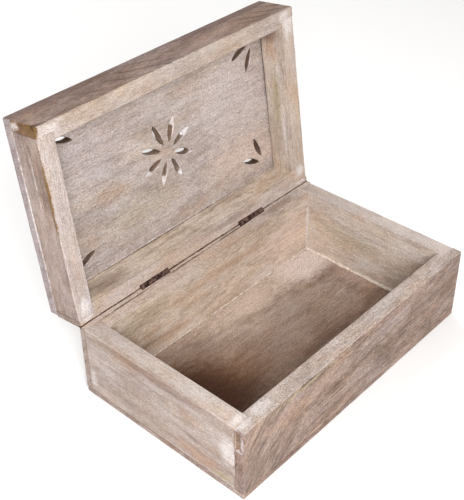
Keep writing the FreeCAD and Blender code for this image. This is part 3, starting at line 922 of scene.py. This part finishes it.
class BoardFinish(Finish):
    """A finish that knows the place on its board, in millimetres from the middle, with the grain along X."""

    def __init__(self, name, node, along, seed):
        super().__init__(name)
        low, high = flat_box(node)
        self.middle = (low + high) / 2
        self.turn = Matrix.Rotation(-math.pi / 2 if along == "depth" else 0, 3, "Z")
        self.half = Vector(map(abs, self.turn @ (high - low) / (2 * MM)))
        self.seeds = random.Random(seed)
        move = self.turn.to_4x4() @ Matrix.Translation(-self.middle) @ home(node)
        self.coordinates = self.node("ShaderNodeTexCoord").outputs
        self.place = self.mapped(self.coordinates["Object"], Location=move.translation / MM,
                                 Rotation=move.to_euler("XYZ"), Scale=(1 / MM,) * 3)
        self.upright = tuple(home(node).to_3x3().transposed() @ FACES["up"])
        self.grain = self.place

    def lean_grain(self, bend_start, bend_radius):
        """Let the grain climb towards the left end, as it does beside a knot."""
        x = self.node("ShaderNodeSeparateXYZ", {0: self.place}).outputs[0]
        beyond = self.math("MAXIMUM", self.math("SUBTRACT", bend_start, x), 0.0)
        rise = self.math("DIVIDE", self.math("POWER", beyond, 2.0), 2 * bend_radius)
        self.grain = self.vector("ADD", self.place, self.node("ShaderNodeCombineXYZ", {2: rise}).outputs[0])

    def lay(self, length, width):
        """Stretch the place along the grain, from a start of its own."""
        start = [self.seeds.uniform(-GRAIN_SHIFT, GRAIN_SHIFT) for axis in range(3)]
        return self.mapped(self.grain, Location=start, Scale=(1 / length, 1 / width, 1 / width))

    def on_side(self, side, margin):
        """Mask the face that looks to a side."""
        direction = self.turn @ FACES[side]
        reach = abs(direction.dot(self.half))
        height = self.vector("DOT_PRODUCT", self.place, tuple(direction))
        return self.spread(height, reach - 2 * margin, reach - margin)

    def to_edge(self):
        """Measure how far a point of the surface is from the nearest edge: the middle of three insets."""
        inset = self.vector("SUBTRACT", tuple(self.half), self.vector("ABSOLUTE", self.place))
        x, y, z = self.node("ShaderNodeSeparateXYZ", {0: inset}).outputs
        low = self.math("MINIMUM", x, y)
        high = self.math("MAXIMUM", x, y)
        return self.math("MAXIMUM", low, self.math("MINIMUM", high, z))

    def spot(self, centre, size, ragged, roughness):
        """Mask a ragged patch round a point of the box, both in millimetres with the lid shut."""
        middle = self.turn @ (Vector(centre) - self.middle / MM)
        radii = Vector(map(abs, self.turn @ Vector(size)))
        offset = self.vector("DIVIDE", self.vector("SUBTRACT", self.place, tuple(middle)), tuple(radii))
        reach = self.math("MULTIPLY_ADD", ragged, roughness, self.vector("LENGTH", offset))
        return self.spread(reach, SPOT_END + roughness / 2, SPOT_CORE + roughness / 2)

    def in_cut(self, face, cores, fresh):
        """Colour the walls of a cut, in the middle of the board or at a corner, and its sloping points."""
        across = self.node("ShaderNodeSeparateXYZ", {0: self.vector("ABSOLUTE", self.place)}).outputs[2]
        within = self.spread(across, self.half.z - CUT_START, self.half.z - CUT_FULL)
        lean = self.math("ABSOLUTE", self.vector("DOT_PRODUCT", self.coordinates["Normal"], self.upright))
        away = self.vector("LENGTH", self.vector("MULTIPLY", self.place, (1, 1, 0)))
        core = self.mix(self.spread(away, CORNER_START, CORNER_FULL), *cores)
        return self.mix(within, face, self.mix(self.spread(lean, SLOPE_START, SLOPE_FULL), core, fresh))


print("board finish ready")

# %% [markdown]
# ### Grain
# Eight patterns of noise make the grain, each stretched to a length along it and a width across it, in
# millimetres. Strokes, scratches and pores are the peaks of their noise, so those three are cut to a
# narrow range.

# %% Lay the grain
GRAIN = {"band": ((46, 9), dict(detail=6, roughness=0.64, distortion=0.6)),
         "cloud": ((36, 17), dict(detail=5, roughness=0.62, distortion=0.4)),
         "ragged": ((6.5, 3.6), dict(detail=4, roughness=0.7)),
         "fibre": ((6, 0.9), dict(detail=3, roughness=0.7)),
         "stroke": ((15, 1.3), dict(distortion=0.5)),
         "scratch": ((26, 1.2), dict(distortion=0.4)),
         "speck": ((0.9, 0.7), dict(detail=1)),
         "pore": ((2.4, 0.6), dict(detail=1))}
PEAKS = {"stroke": (0.59, 0.65), "scratch": (0.62, 0.68), "pore": (0.62, 0.72)}


def lay_grain(finish):
    """Give the patterns of a board's grain by name."""
    grain = {name: finish.noise(finish.lay(*size), **kind) for name, (size, kind) in GRAIN.items()}
    for name, limits in PEAKS.items():
        grain[name] = finish.spread(grain[name], *limits)
    return grain


print("grain patterns:", list(GRAIN))

# %% [markdown]
# ### Growth rings
# A sawn board cuts through the rings of the tree. The sine of the distance from the heart gives even
# waves, and a high power leaves only their thin crests. A heart that is tilted to the board draws the
# long arches of the lid's front.

# %% Draw the growth rings
DRIFT_DETAIL = 3
HEART_SIDE = 40
HEART_DEPTH = (45, 80)
RING_TILT = (0.0, 0.035, 0.05)
RING_DRIFT = (80, 24)
RING_WANDER = 20.0
RING_SHARPNESS = 10.0
RING_FADE = (0.38, 0.62)


def growth_rings(finish, strength, gap, tilt):
    """Draw thin rings round a far heart of the tree, which wander, and fade in places."""
    side = finish.seeds.uniform(-HEART_SIDE, HEART_SIDE)
    depth = finish.seeds.choice((-1, 1)) * finish.seeds.uniform(*HEART_DEPTH)
    tilted = finish.mapped(finish.grain, Location=(0, side, depth), Rotation=tilt)
    radius = finish.vector("LENGTH", finish.vector("MULTIPLY", tilted, (0, 1, 1)))
    drift = finish.noise(finish.lay(*RING_DRIFT), detail=DRIFT_DETAIL)
    turns = finish.times(finish.math("MULTIPLY_ADD", drift, RING_WANDER, radius), 2 * math.pi / gap)
    wave = finish.math("MULTIPLY_ADD", finish.math("SINE", turns), 0.5, 0.5)
    ring = finish.math("POWER", wave, RING_SHARPNESS)
    return finish.times(ring, finish.spread(drift, *RING_FADE, 0.0, strength))


print("rings lie round a heart, in mm away:", HEART_DEPTH)

# %% [markdown]
# ### Tones of the faces
# A mask for each side of a board lays that side's tones over those of the inside. Every tone comes as a
# pair, and the grain will mix the two. Inside a cut the wood is darker, and pale again on a fresh
# slope.

# %% Give each face its tones
FACE_MARGIN = 0.5
FRESH = paint(214, 207, 208)
RIM_GRAIN = 0.45
PALE_SHARE = 0.55
CUT_SHADE = 0.6
FRESH_SHADE = 0.85


def pale_and_deep(tone, contrast):
    """Give the pale and the deep version of a tone."""
    return shaded(tone, 1 + contrast * PALE_SHARE), shaded(tone, 1 - contrast)


def face_tones(finish, inside, sides, contrast, rim, core):
    """Give the pale and the deep tone of the grain over all faces of a board."""
    pale, deep = pale_and_deep(inside, contrast)
    if core:
        pale = finish.in_cut(pale, core, FRESH)
        deep = finish.in_cut(deep, [shaded(tone, CUT_SHADE) for tone in core], shaded(FRESH, FRESH_SHADE))
    for side, tone in sides.items():
        here = finish.on_side(side, FACE_MARGIN)
        side_pale, side_deep = pale_and_deep(tone, contrast * (RIM_GRAIN if side == rim else 1))
        pale = finish.mix(here, pale, side_pale)
        deep = finish.mix(here, deep, side_deep)
    return pale, deep


print("fresh cuts as light:", [round(part, 3) for part in FRESH])

# %% [markdown]
# ### One finish for all boards
# The colour is built up as the maker did it: bare wood between its pale and deep tones, a drift to warm and cool,
# a veil of lime, stains and smears together with some painted shade and painted light, and then what shows
# through: strokes, rings, rubbed edges and pores. The surface is dull, and its relief follows the fibres.

# %% Make the finish of one board
# The first tone is the white of the lime wax. It also serves as a painted highlight on the ledge of the chip in
# the front wall.
LIME_AND_HIGHLIGHT = paint(219, 211, 209)
DEPTH_SHARES = {"cloud": 0.28, "band": 0.34, "ragged": 0.24, "fibre": 0.2}
DEPTH_RANGE = (0.44, 0.62)
SCRATCH_LIFT = -0.5
HUE_DRIFT = (40, 16)
WARM, WARM_RANGE = (1.05, 0.99, 0.91), (0.5, 0.72)
COOL, COOL_RANGE = (0.97, 1.0, 1.06), (0.5, 0.28)
VEIL_CLOUDS = (0.55, 0.36)
VEIL_RAGS = (0.4, 0.62, 0.35, 1.0)
STROKE_TINT = (0.4, 0.33, 0.29)
STROKE_FADE = (0.42, 0.58)
STROKE_LEAST = 0.3
RIM_CALM = 0.85
WORN_TINT = (0.62, 0.5, 0.41)
WORN_RAGS = -2.4
WORN_RANGE = (-0.3, -1.1)
PORE_TINT = (0.55, 0.48, 0.43)
PORE_STRENGTH = 0.4
SPECK_RANGE = (0.25, 0.75)
FIBRE_TONES = (0.3, 0.7, 1.06, 0.94)
WOOD_ROUGHNESS = (0.3, 0.7, 0.8, 0.64)
WOOD_GLOSS = 0.25
RELIEF_SHARES = {"pore": -0.8, "fibre": 0.9, "speck": 0.6, "stroke": -0.8}
RELIEF_DEPTH = 0.16 * MM
RELIEF_STRENGTH = 0.9


def limed_wood(name, node, seed, inside, sides, along="length", marks=(), contrast=0.3, haze=0.25, rings=0.4,
               ring_gap=7.0, strokes=0.45, stipple=0.24, worn=0.5, relief=1.0, rim=None, core=None,
               ring_tilt=RING_TILT, bend_start=-500.0, bend_radius=50.0):
    """Make a board's finish from its tones, its marks and the strength of its grain."""
    finish = BoardFinish(name, node, along, seed)
    finish.lean_grain(bend_start, bend_radius)
    grain = lay_grain(finish)
    ring = growth_rings(finish, rings, ring_gap, ring_tilt)

    depth = finish.spread(finish.weigh(grain, DEPTH_SHARES), *DEPTH_RANGE)
    depth = finish.math("MULTIPLY_ADD", grain["scratch"], SCRATCH_LIFT, depth)
    colour = finish.mix(depth, *face_tones(finish, inside, sides, contrast, rim, core))
    hue = finish.noise(finish.lay(*HUE_DRIFT), detail=DRIFT_DETAIL)
    colour = finish.mix(finish.spread(hue, *WARM_RANGE), colour, WARM, "MULTIPLY")
    colour = finish.mix(finish.spread(hue, *COOL_RANGE), colour, COOL, "MULTIPLY")
    veil = finish.spread(grain["cloud"], *VEIL_CLOUDS)
    veil = finish.times(veil, finish.spread(grain["ragged"], *VEIL_RAGS))
    colour = finish.mix(finish.times(veil, haze), colour, LIME_AND_HIGHLIGHT)
    # Marks lay stains and smears of lime, and on some boards painted shade and painted light.
    for centre, size, tone, amount, roughness in marks:
        here = finish.spot(centre, size, grain["ragged"], roughness)
        colour = finish.mix(finish.times(here, amount), colour, tone)

    drawn = finish.spread(grain["cloud"], *STROKE_FADE, STROKE_LEAST * strokes, strokes)
    drawn = finish.math("MAXIMUM", finish.times(grain["stroke"], drawn), ring)
    rubbed = finish.math("MULTIPLY_ADD", grain["ragged"], WORN_RAGS, finish.to_edge())
    rubbed = finish.spread(rubbed, *WORN_RANGE, 0.0, worn)
    if rim:
        on_rim = finish.on_side(rim, FACE_MARGIN)
        drawn = finish.times(drawn, finish.math("MULTIPLY_ADD", on_rim, -RIM_CALM, 1.0))
        rubbed = finish.times(rubbed, finish.math("SUBTRACT", 1.0, on_rim))
    colour = finish.mix(drawn, colour, STROKE_TINT, "MULTIPLY")
    colour = finish.mix(rubbed, colour, WORN_TINT, "MULTIPLY")
    colour = finish.mix(finish.times(grain["pore"], PORE_STRENGTH), colour, PORE_TINT, "MULTIPLY")
    specks = finish.spread(grain["speck"], *SPECK_RANGE, 1 - stipple, 1 + stipple)
    colour = finish.mix(1.0, colour, specks, "MULTIPLY")
    colour = finish.mix(1.0, colour, finish.spread(grain["fibre"], *FIBRE_TONES), "MULTIPLY")

    height = finish.weigh(grain, RELIEF_SHARES)
    return finish.coat({"Base Color": colour,
                        "Roughness": finish.spread(grain["band"], *WOOD_ROUGHNESS),
                        "Specular IOR Level": WOOD_GLOSS,
                        "Normal": finish.bump(height, RELIEF_DEPTH * relief, RELIEF_STRENGTH)})


print("grain shares of the tone:", DEPTH_SHARES)

# %% [markdown]
# ### The tone of each board
# The front wall and the lid's front wall are the brownest boards, and the rims the palest. The floor of the base
# carries painted shade, darkest in its front left corner behind the front and left walls, and painted light
# towards its back right. The sides of a lid board are named as with the lid shut, so its rim looks down. A mark is
# a stain, a smear of lime, or a patch of painted shade or painted light: where it is on the box and its reach,
# both in millimetres, its tone, its strength and how ragged it is.

# %% Finish every board
# The first tone is the dark brown of stains and dark joints. It also serves as painted shade on the floor of the
# base and in the seam between lid and base.
STAIN_AND_SHADE = paint(68, 40, 24)
UMBER = paint(114, 81, 58)
RUST = paint(176, 134, 104)
GOLD = paint(114, 86, 52)
OLIVE = paint(168, 154, 126)
SMOKE = paint(120, 98, 84)
ROSE = paint(206, 178, 164)
BOARD_FINISHES = {
    "base_front_board": dict(
        node="base_front_wall", seed=11, contrast=0.34, haze=0.12, rings=0.35, ring_gap=6.0,
        strokes=0.9, stipple=0.31, relief=1.8, rim="up", worn=0.35, bend_start=-50.0, bend_radius=45.0,
        inside=paint(150, 128, 114),
        sides={"front": paint(145, 125, 114), "up": paint(173, 160, 153), "left": paint(140, 118, 109),
               "right": paint(134, 112, 102)},
        marks=[((-109, -63, 56), (9, 6, 3), LIME_AND_HIGHLIGHT, 0.7, 1.2),
               # Of the next three marks on the chipped corner, the first is painted shade in the deeper step of
               # the chip, the second is the pale fresh wood of the shallow step, and the third is a painted
               # highlight on the lower ledge of the chip.
               ((-113, -64.4, 50), (0.9, 2.2, 7), SMOKE, 0.6, 0.5),
               ((-114.2, -68, 46), (0.9, 1.7, 9), FRESH, 0.6, 0.8),
               ((-114, -66, 39), (2, 4.4, 0.8), LIME_AND_HIGHLIGHT, 0.9, 0.3),
               ((100, -69.5, 34), (18, 3, 16), SMOKE, 0.6, 2),
               ((30, -69.5, 24), (30, 3, 7), SMOKE, 0.4, 2.4),
               ((-70, -69.5, 40), (34, 3, 12), RUST, 0.25, 2),
               ((64, -69.5, 44), (16, 3, 9), SMOKE, 0.45, 2.4),
               ((-20, -69.5, 14), (40, 3, 5), SMOKE, 0.35, 2.4),
               ((-104, -69.5, 20), (10, 3, 16), SMOKE, 0.4, 2.4),
               ((-92, -62, 56), (10, 6, 3), LIME_AND_HIGHLIGHT, 0.5, 1.6),
               ((-60, -69.5, 53), (50, 1, 3), OLIVE, 0.5, 1.6)]),
    "base_back_board": dict(
        node="base_back_wall", seed=12, contrast=0.24, haze=0.2, strokes=0.3, rim="up",
        inside=paint(201, 184, 169),
        sides={"back": paint(150, 130, 118), "up": paint(193, 177, 166), "left": paint(165, 150, 143),
               "right": paint(150, 130, 120)},
        marks=[((5, 57, 39), (75, 3, 6), RUST, 0.4, 1.6), ((-70, 57, 42), (34, 3, 13), OLIVE, 0.4, 1.6),
               ((-50, 57, 14), (36, 3, 7), RUST, 0.4, 1.6), ((78, 63, 56), (30, 6, 2), SMOKE, 0.5, 2),
               ((75, 57, 30), (44, 3, 24), paint(218, 194, 180), 0.6, 1),
               # The next three marks darken the scribed gauge line.
               ((-76, 64.8, 55.6), (38, 0.9, 2), STAIN_AND_SHADE, 0.8, 1.4),
               ((-21, 65.6, 55.6), (38, 0.9, 2), STAIN_AND_SHADE, 0.8, 1.4),
               ((34, 66.3, 55.6), (38, 0.9, 2), STAIN_AND_SHADE, 0.8, 1.4),
               # The long mark below paints shade into the seam between lid and base.
               ((0, 68.9, 55.7), (900, 1.3, 3), STAIN_AND_SHADE, 1.0, 1.6),
               ((101.6, 57, 28), (1.2, 1.6, 30), LIME_AND_HIGHLIGHT, 0.9, 1.4)]),
    "base_left_board": dict(
        node="base_left_wall", along="depth", seed=13, contrast=0.14, haze=0.14, strokes=0.18, stipple=0.17,
        rim="up", worn=0.6,
        inside=paint(182, 162, 148),
        sides={"left": paint(170, 156, 149), "up": paint(184, 172, 165)},
        marks=[((-114.5, -58, 32), (3, 11, 17), LIME_AND_HIGHLIGHT, 0.6, 0.5),
               ((-114.5, 61, 16), (3, 4, 10), LIME_AND_HIGHLIGHT, 0.5, 1),
               ((-114.5, -36, 12), (3, 28, 8), RUST, 0.45, 1.6),
               ((-114.5, 0, 53), (3, 70, 7), UMBER, 0.4, 1.2),
               ((-114.5, -52, 9), (3, 12, 5), OLIVE, 0.7, 1.2),
               ((-114.5, -62.1, 24), (2, 0.6, 18), LIME_AND_HIGHLIGHT, 0.7, 0.6),
               ((-108, -59, 56), (8, 5, 3), LIME_AND_HIGHLIGHT, 0.6, 1.2)]),
    "base_right_board": dict(
        node="base_right_wall", along="depth", seed=14, contrast=0.15, haze=0.25, rings=0.2, strokes=0.08,
        rim="up",
        inside=paint(198, 185, 174),
        sides={"right": paint(160, 143, 134), "up": paint(182, 171, 166)},
        marks=[((102, 20, 32), (3, 40, 12), OLIVE, 0.4, 1.6),
               ((102, 56.6, 28), (1.6, 1.2, 30), LIME_AND_HIGHLIGHT, 0.9, 1.4)]),
    "base_floor_board": dict(
        node="base_bottom_panel", seed=15, contrast=0.26, haze=0.1, rings=0.4, ring_gap=15.0,
        strokes=0.3, stipple=0.32, worn=0.22,
        inside=paint(163, 144, 131),
        sides={"down": paint(158, 140, 130), "front": paint(147, 126, 116), "back": paint(128, 110, 104),
               "left": paint(158, 141, 134), "right": paint(136, 120, 114)},
        # The first two marks are painted light, paler towards the back right where the lamp reaches the floor. The
        # next five are painted shade, darkest in the front left corner behind the front and left walls.
        marks=[((84, 46, 4.5), (50, 26, 2), paint(216, 201, 194), 0.9, 0.8),
               ((18, 46, 4.5), (72, 24, 2), paint(206, 186, 170), 0.75, 0.8),
               ((-72, 6, 4.5), (76, 60, 2), UMBER, 0.9, 0.5),
               ((-72, 2, 4.5), (48, 52, 2), STAIN_AND_SHADE, 0.95, 0.5),
               ((40, -24, 4.5), (100, 26, 2), UMBER, 0.45, 0.6),
               ((-56, -14, 4.5), (50, 26, 2), STAIN_AND_SHADE, 0.6, 0.6),
               ((-14, -2, 4.5), (44, 34, 2), UMBER, 0.35, 0.8),
               ((98, 10, 4.5), (12, 34, 2), ROSE, 0.3, 1), ((34, 12, 4.5), (44, 20, 2), SMOKE, 0.3, 1)]),
    "lid_front_board": dict(
        node="lid_front_wall", seed=16, contrast=0.32, haze=0.08, rings=1.0, ring_gap=9.0,
        strokes=0.5, ring_tilt=(0.0, -0.62, 0.05), rim="down", worn=0.3,
        inside=paint(176, 156, 142),
        sides={"front": paint(138, 117, 107), "down": paint(175, 160, 149), "left": paint(127, 96, 71),
               "right": paint(131, 105, 86)},
        marks=[((-104, -64, 56.3), (12, 9, 2), LIME_AND_HIGHLIGHT, 0.4, 1.6),
               ((106, -64, 56.3), (9, 7, 2), LIME_AND_HIGHLIGHT, 0.5, 1.4),
               ((92, -69.5, 68), (40, 3, 20), SMOKE, 0.5, 1.6),
               ((-114.5, -69.5, 56), (3, 9, 18), GOLD, 1.3, 0.9),
               ((-114.5, -66, 77), (3, 4, 7), LIME_AND_HIGHLIGHT, 0.7, 1.8)]),
    "lid_back_board": dict(
        node="lid_back_wall", seed=17, contrast=0.25, haze=0.2, rim="down",
        inside=paint(206, 191, 176),
        sides={"back": paint(150, 132, 121), "down": paint(185, 169, 159), "left": paint(150, 133, 124),
               "right": paint(150, 130, 120)},
        marks=[((-80, 57, 66), (26, 3, 12), UMBER, 0.45, 1.2),
               ((30, 61, 56.3), (44, 4, 2), SMOKE, 0.45, 2), ((107, 62, 56.3), (7, 7, 2), LIME_AND_HIGHLIGHT, 0.7, 1.2),
               ((-107, 63, 56.3), (8, 7, 2), LIME_AND_HIGHLIGHT, 0.8, 1.2),
               # The long mark below paints shade into the seam between lid and base.
               ((0, 68.9, 56.6), (900, 1.3, 3), STAIN_AND_SHADE, 1.0, 1.6),
               ((-20, 57.5, 78.9), (120, 1.2, 1.4), STAIN_AND_SHADE, 0.8, 2.2)]),
    "lid_left_board": dict(
        node="lid_left_wall", along="depth", seed=18, contrast=0.3, haze=0.15, rim="down", worn=0.5,
        inside=paint(180, 162, 148),
        sides={"left": paint(155, 137, 129), "down": paint(179, 167, 162)},
        marks=[((-114.5, 0, 79), (3, 70, 0.7), LIME_AND_HIGHLIGHT, 0.8, 1.6),
               ((-114.5, -26, 57), (1.6, 50, 2.2), GOLD, 1.0, 1.6),
               ((-114.5, -30, 68), (3, 22, 1.2), LIME_AND_HIGHLIGHT, 0.5, 2),
               ((-108, 57, 56.3), (6, 9, 2), LIME_AND_HIGHLIGHT, 0.7, 1.2),
               ((-114.5, -69.5, 56), (3, 11, 14), GOLD, 1.3, 0.9)]),
    "lid_right_board": dict(
        node="lid_right_wall", along="depth", seed=19, contrast=0.2, haze=0.2, strokes=0.2, stipple=0.18,
        rim="down",
        inside=paint(191, 178, 167),
        sides={"right": paint(158, 141, 132), "down": paint(180, 164, 152)},
        marks=[((102, 0, 68), (3, 40, 7), OLIVE, 0.65, 1.6), ((108, 57, 56.3), (6, 7, 2), LIME_AND_HIGHLIGHT, 0.7, 1.2),
               ((102, -40, 70), (3, 14, 9), RUST, 0.55, 1.2),
               ((102.6, -22, 78.8), (1.7, 54, 1.9), STAIN_AND_SHADE, 1.4, 0.6),
               # The first mark on the next line is painted shade, in the corner where this wall meets the lid's
               # front wall.
               ((102, -50, 70), (2, 8, 14), UMBER, 0.6, 0.8), ((102, 20, 63), (3, 36, 3), LIME_AND_HIGHLIGHT, 0.4, 1.6),
               ((108, -60, 56.3), (7, 14, 2), LIME_AND_HIGHLIGHT, 0.6, 1.2)]),
    "lid_pierced_board": dict(
        node="lid_top_panel", seed=20, contrast=0.15, haze=0.14, rings=0.2, ring_gap=9.0,
        strokes=0.3, worn=0.3,
        inside=paint(172, 160, 154), core=[paint(144, 121, 104), paint(112, 88, 72)],
        sides={"up": paint(158, 141, 131), "front": paint(119, 100, 94), "back": paint(140, 123, 116),
               "left": paint(159, 148, 149), "right": paint(150, 134, 128)},
        marks=[((66, -10, 79.3), (58, 50, 2), paint(188, 175, 171), 0.75, 0.8),
               ((-66, -28, 79.3), (44, 30, 2), paint(170, 160, 163), 0.5, 1),
               ((70, 34, 79.3), (60, 28, 2), paint(208, 186, 172), 0.5, 0.8),
               ((-30, 30, 79.3), (50, 18, 2), OLIVE, 0.35, 1.2),
               ((-114.5, 0, 80), (3, 70, 0.8), LIME_AND_HIGHLIGHT, 0.7, 1.6),
               ((-20, 56.5, 79.3), (120, 0.8, 2), LIME_AND_HIGHLIGHT, 0.5, 2.4)]),
}
for name, tones in BOARD_FINISHES.items():
    board = bpy.data.objects[name]
    board.data.materials.clear()
    board.data.materials.append(limed_wood(f"limed_{name}", **tones))
print("limed", len(BOARD_FINISHES), "boards")

# %% [markdown]
# ## Metal
# The hinges are old brass gone brown, with paler rubbed patches. Screws are the same brass, and the
# brads are dull steel. The packed leaves, pins and brads have the right shape already, so they keep it
# and only get a finish. One noise drives its colour, its shine and its pits, because tarnish is darker,
# duller and lower than bare metal.

# %% Finish the metal
METAL_PATCH = 3 * MM
TARNISH_STOP, BARE_STOP = 0.42, 0.72
METAL_ROUGHNESS = (0.3, 0.7, 0.62, 0.34)
METAL_RELIEF, METAL_RELIEF_STRENGTH = 0.05 * MM, 0.5


def old_metal(name, bare, tarnish, metallic, seed):
    """Make a metal with patches of tarnish."""
    finish = Finish(name)
    patch = finish.patches(METAL_PATCH, seed)
    return finish.coat({"Base Color": finish.ramp(patch, (TARNISH_STOP, tarnish), (BARE_STOP, bare)),
                        "Roughness": finish.spread(patch, *METAL_ROUGHNESS),
                        "Metallic": metallic,
                        "Normal": finish.bump(patch, METAL_RELIEF, METAL_RELIEF_STRENGTH)})


brass = old_metal("brown_brass", bare=paint(166, 132, 120), tarnish=paint(50, 28, 23), metallic=0.6, seed=3)
steel = old_metal("dull_steel", bare=paint(150, 146, 142), tarnish=paint(92, 84, 78), metallic=0.9, seed=5)
for node, piece in frame["nodes"].items():
    if "hinge" in node or "brads" in node:
        piece.data.materials.clear()
        piece.data.materials.append(steel if "brads" in node else brass)
for name in ("base_slotted_screws", "lid_slotted_screws"):
    bpy.data.objects[name].data.materials.append(brass)
print("metal finished")

# %% [markdown]
# ## Filler finish
# Filler is chalky: almost white, with a little dust of wood in its hollows. One fine noise gives both
# the hollows and the dust, so the two always fall together.

# %% Finish the filler
CHALK_PATCH = 1.5 * MM
CHALK_ROUGHNESS = 0.9
CHALK_RELIEF, CHALK_RELIEF_STRENGTH = 0.2 * MM, 0.8
DUSTY_STOP = (0.35, paint(186, 166, 148))
WHITE_STOP = (0.6, paint(224, 215, 204))
chalk = Finish("chalky_filler")
dust = chalk.patches(CHALK_PATCH)
chalk.coat({"Base Color": chalk.ramp(dust, DUSTY_STOP, WHITE_STOP),
            "Roughness": CHALK_ROUGHNESS,
            "Normal": chalk.bump(dust, CHALK_RELIEF, CHALK_RELIEF_STRENGTH)})
for bead in fillers:
    bead.data.materials.append(chalk.material)
print("filler finished")

# %% [markdown]
# ## Size
# Wear only takes wood away, so the dressed box may not be larger than the packed one.
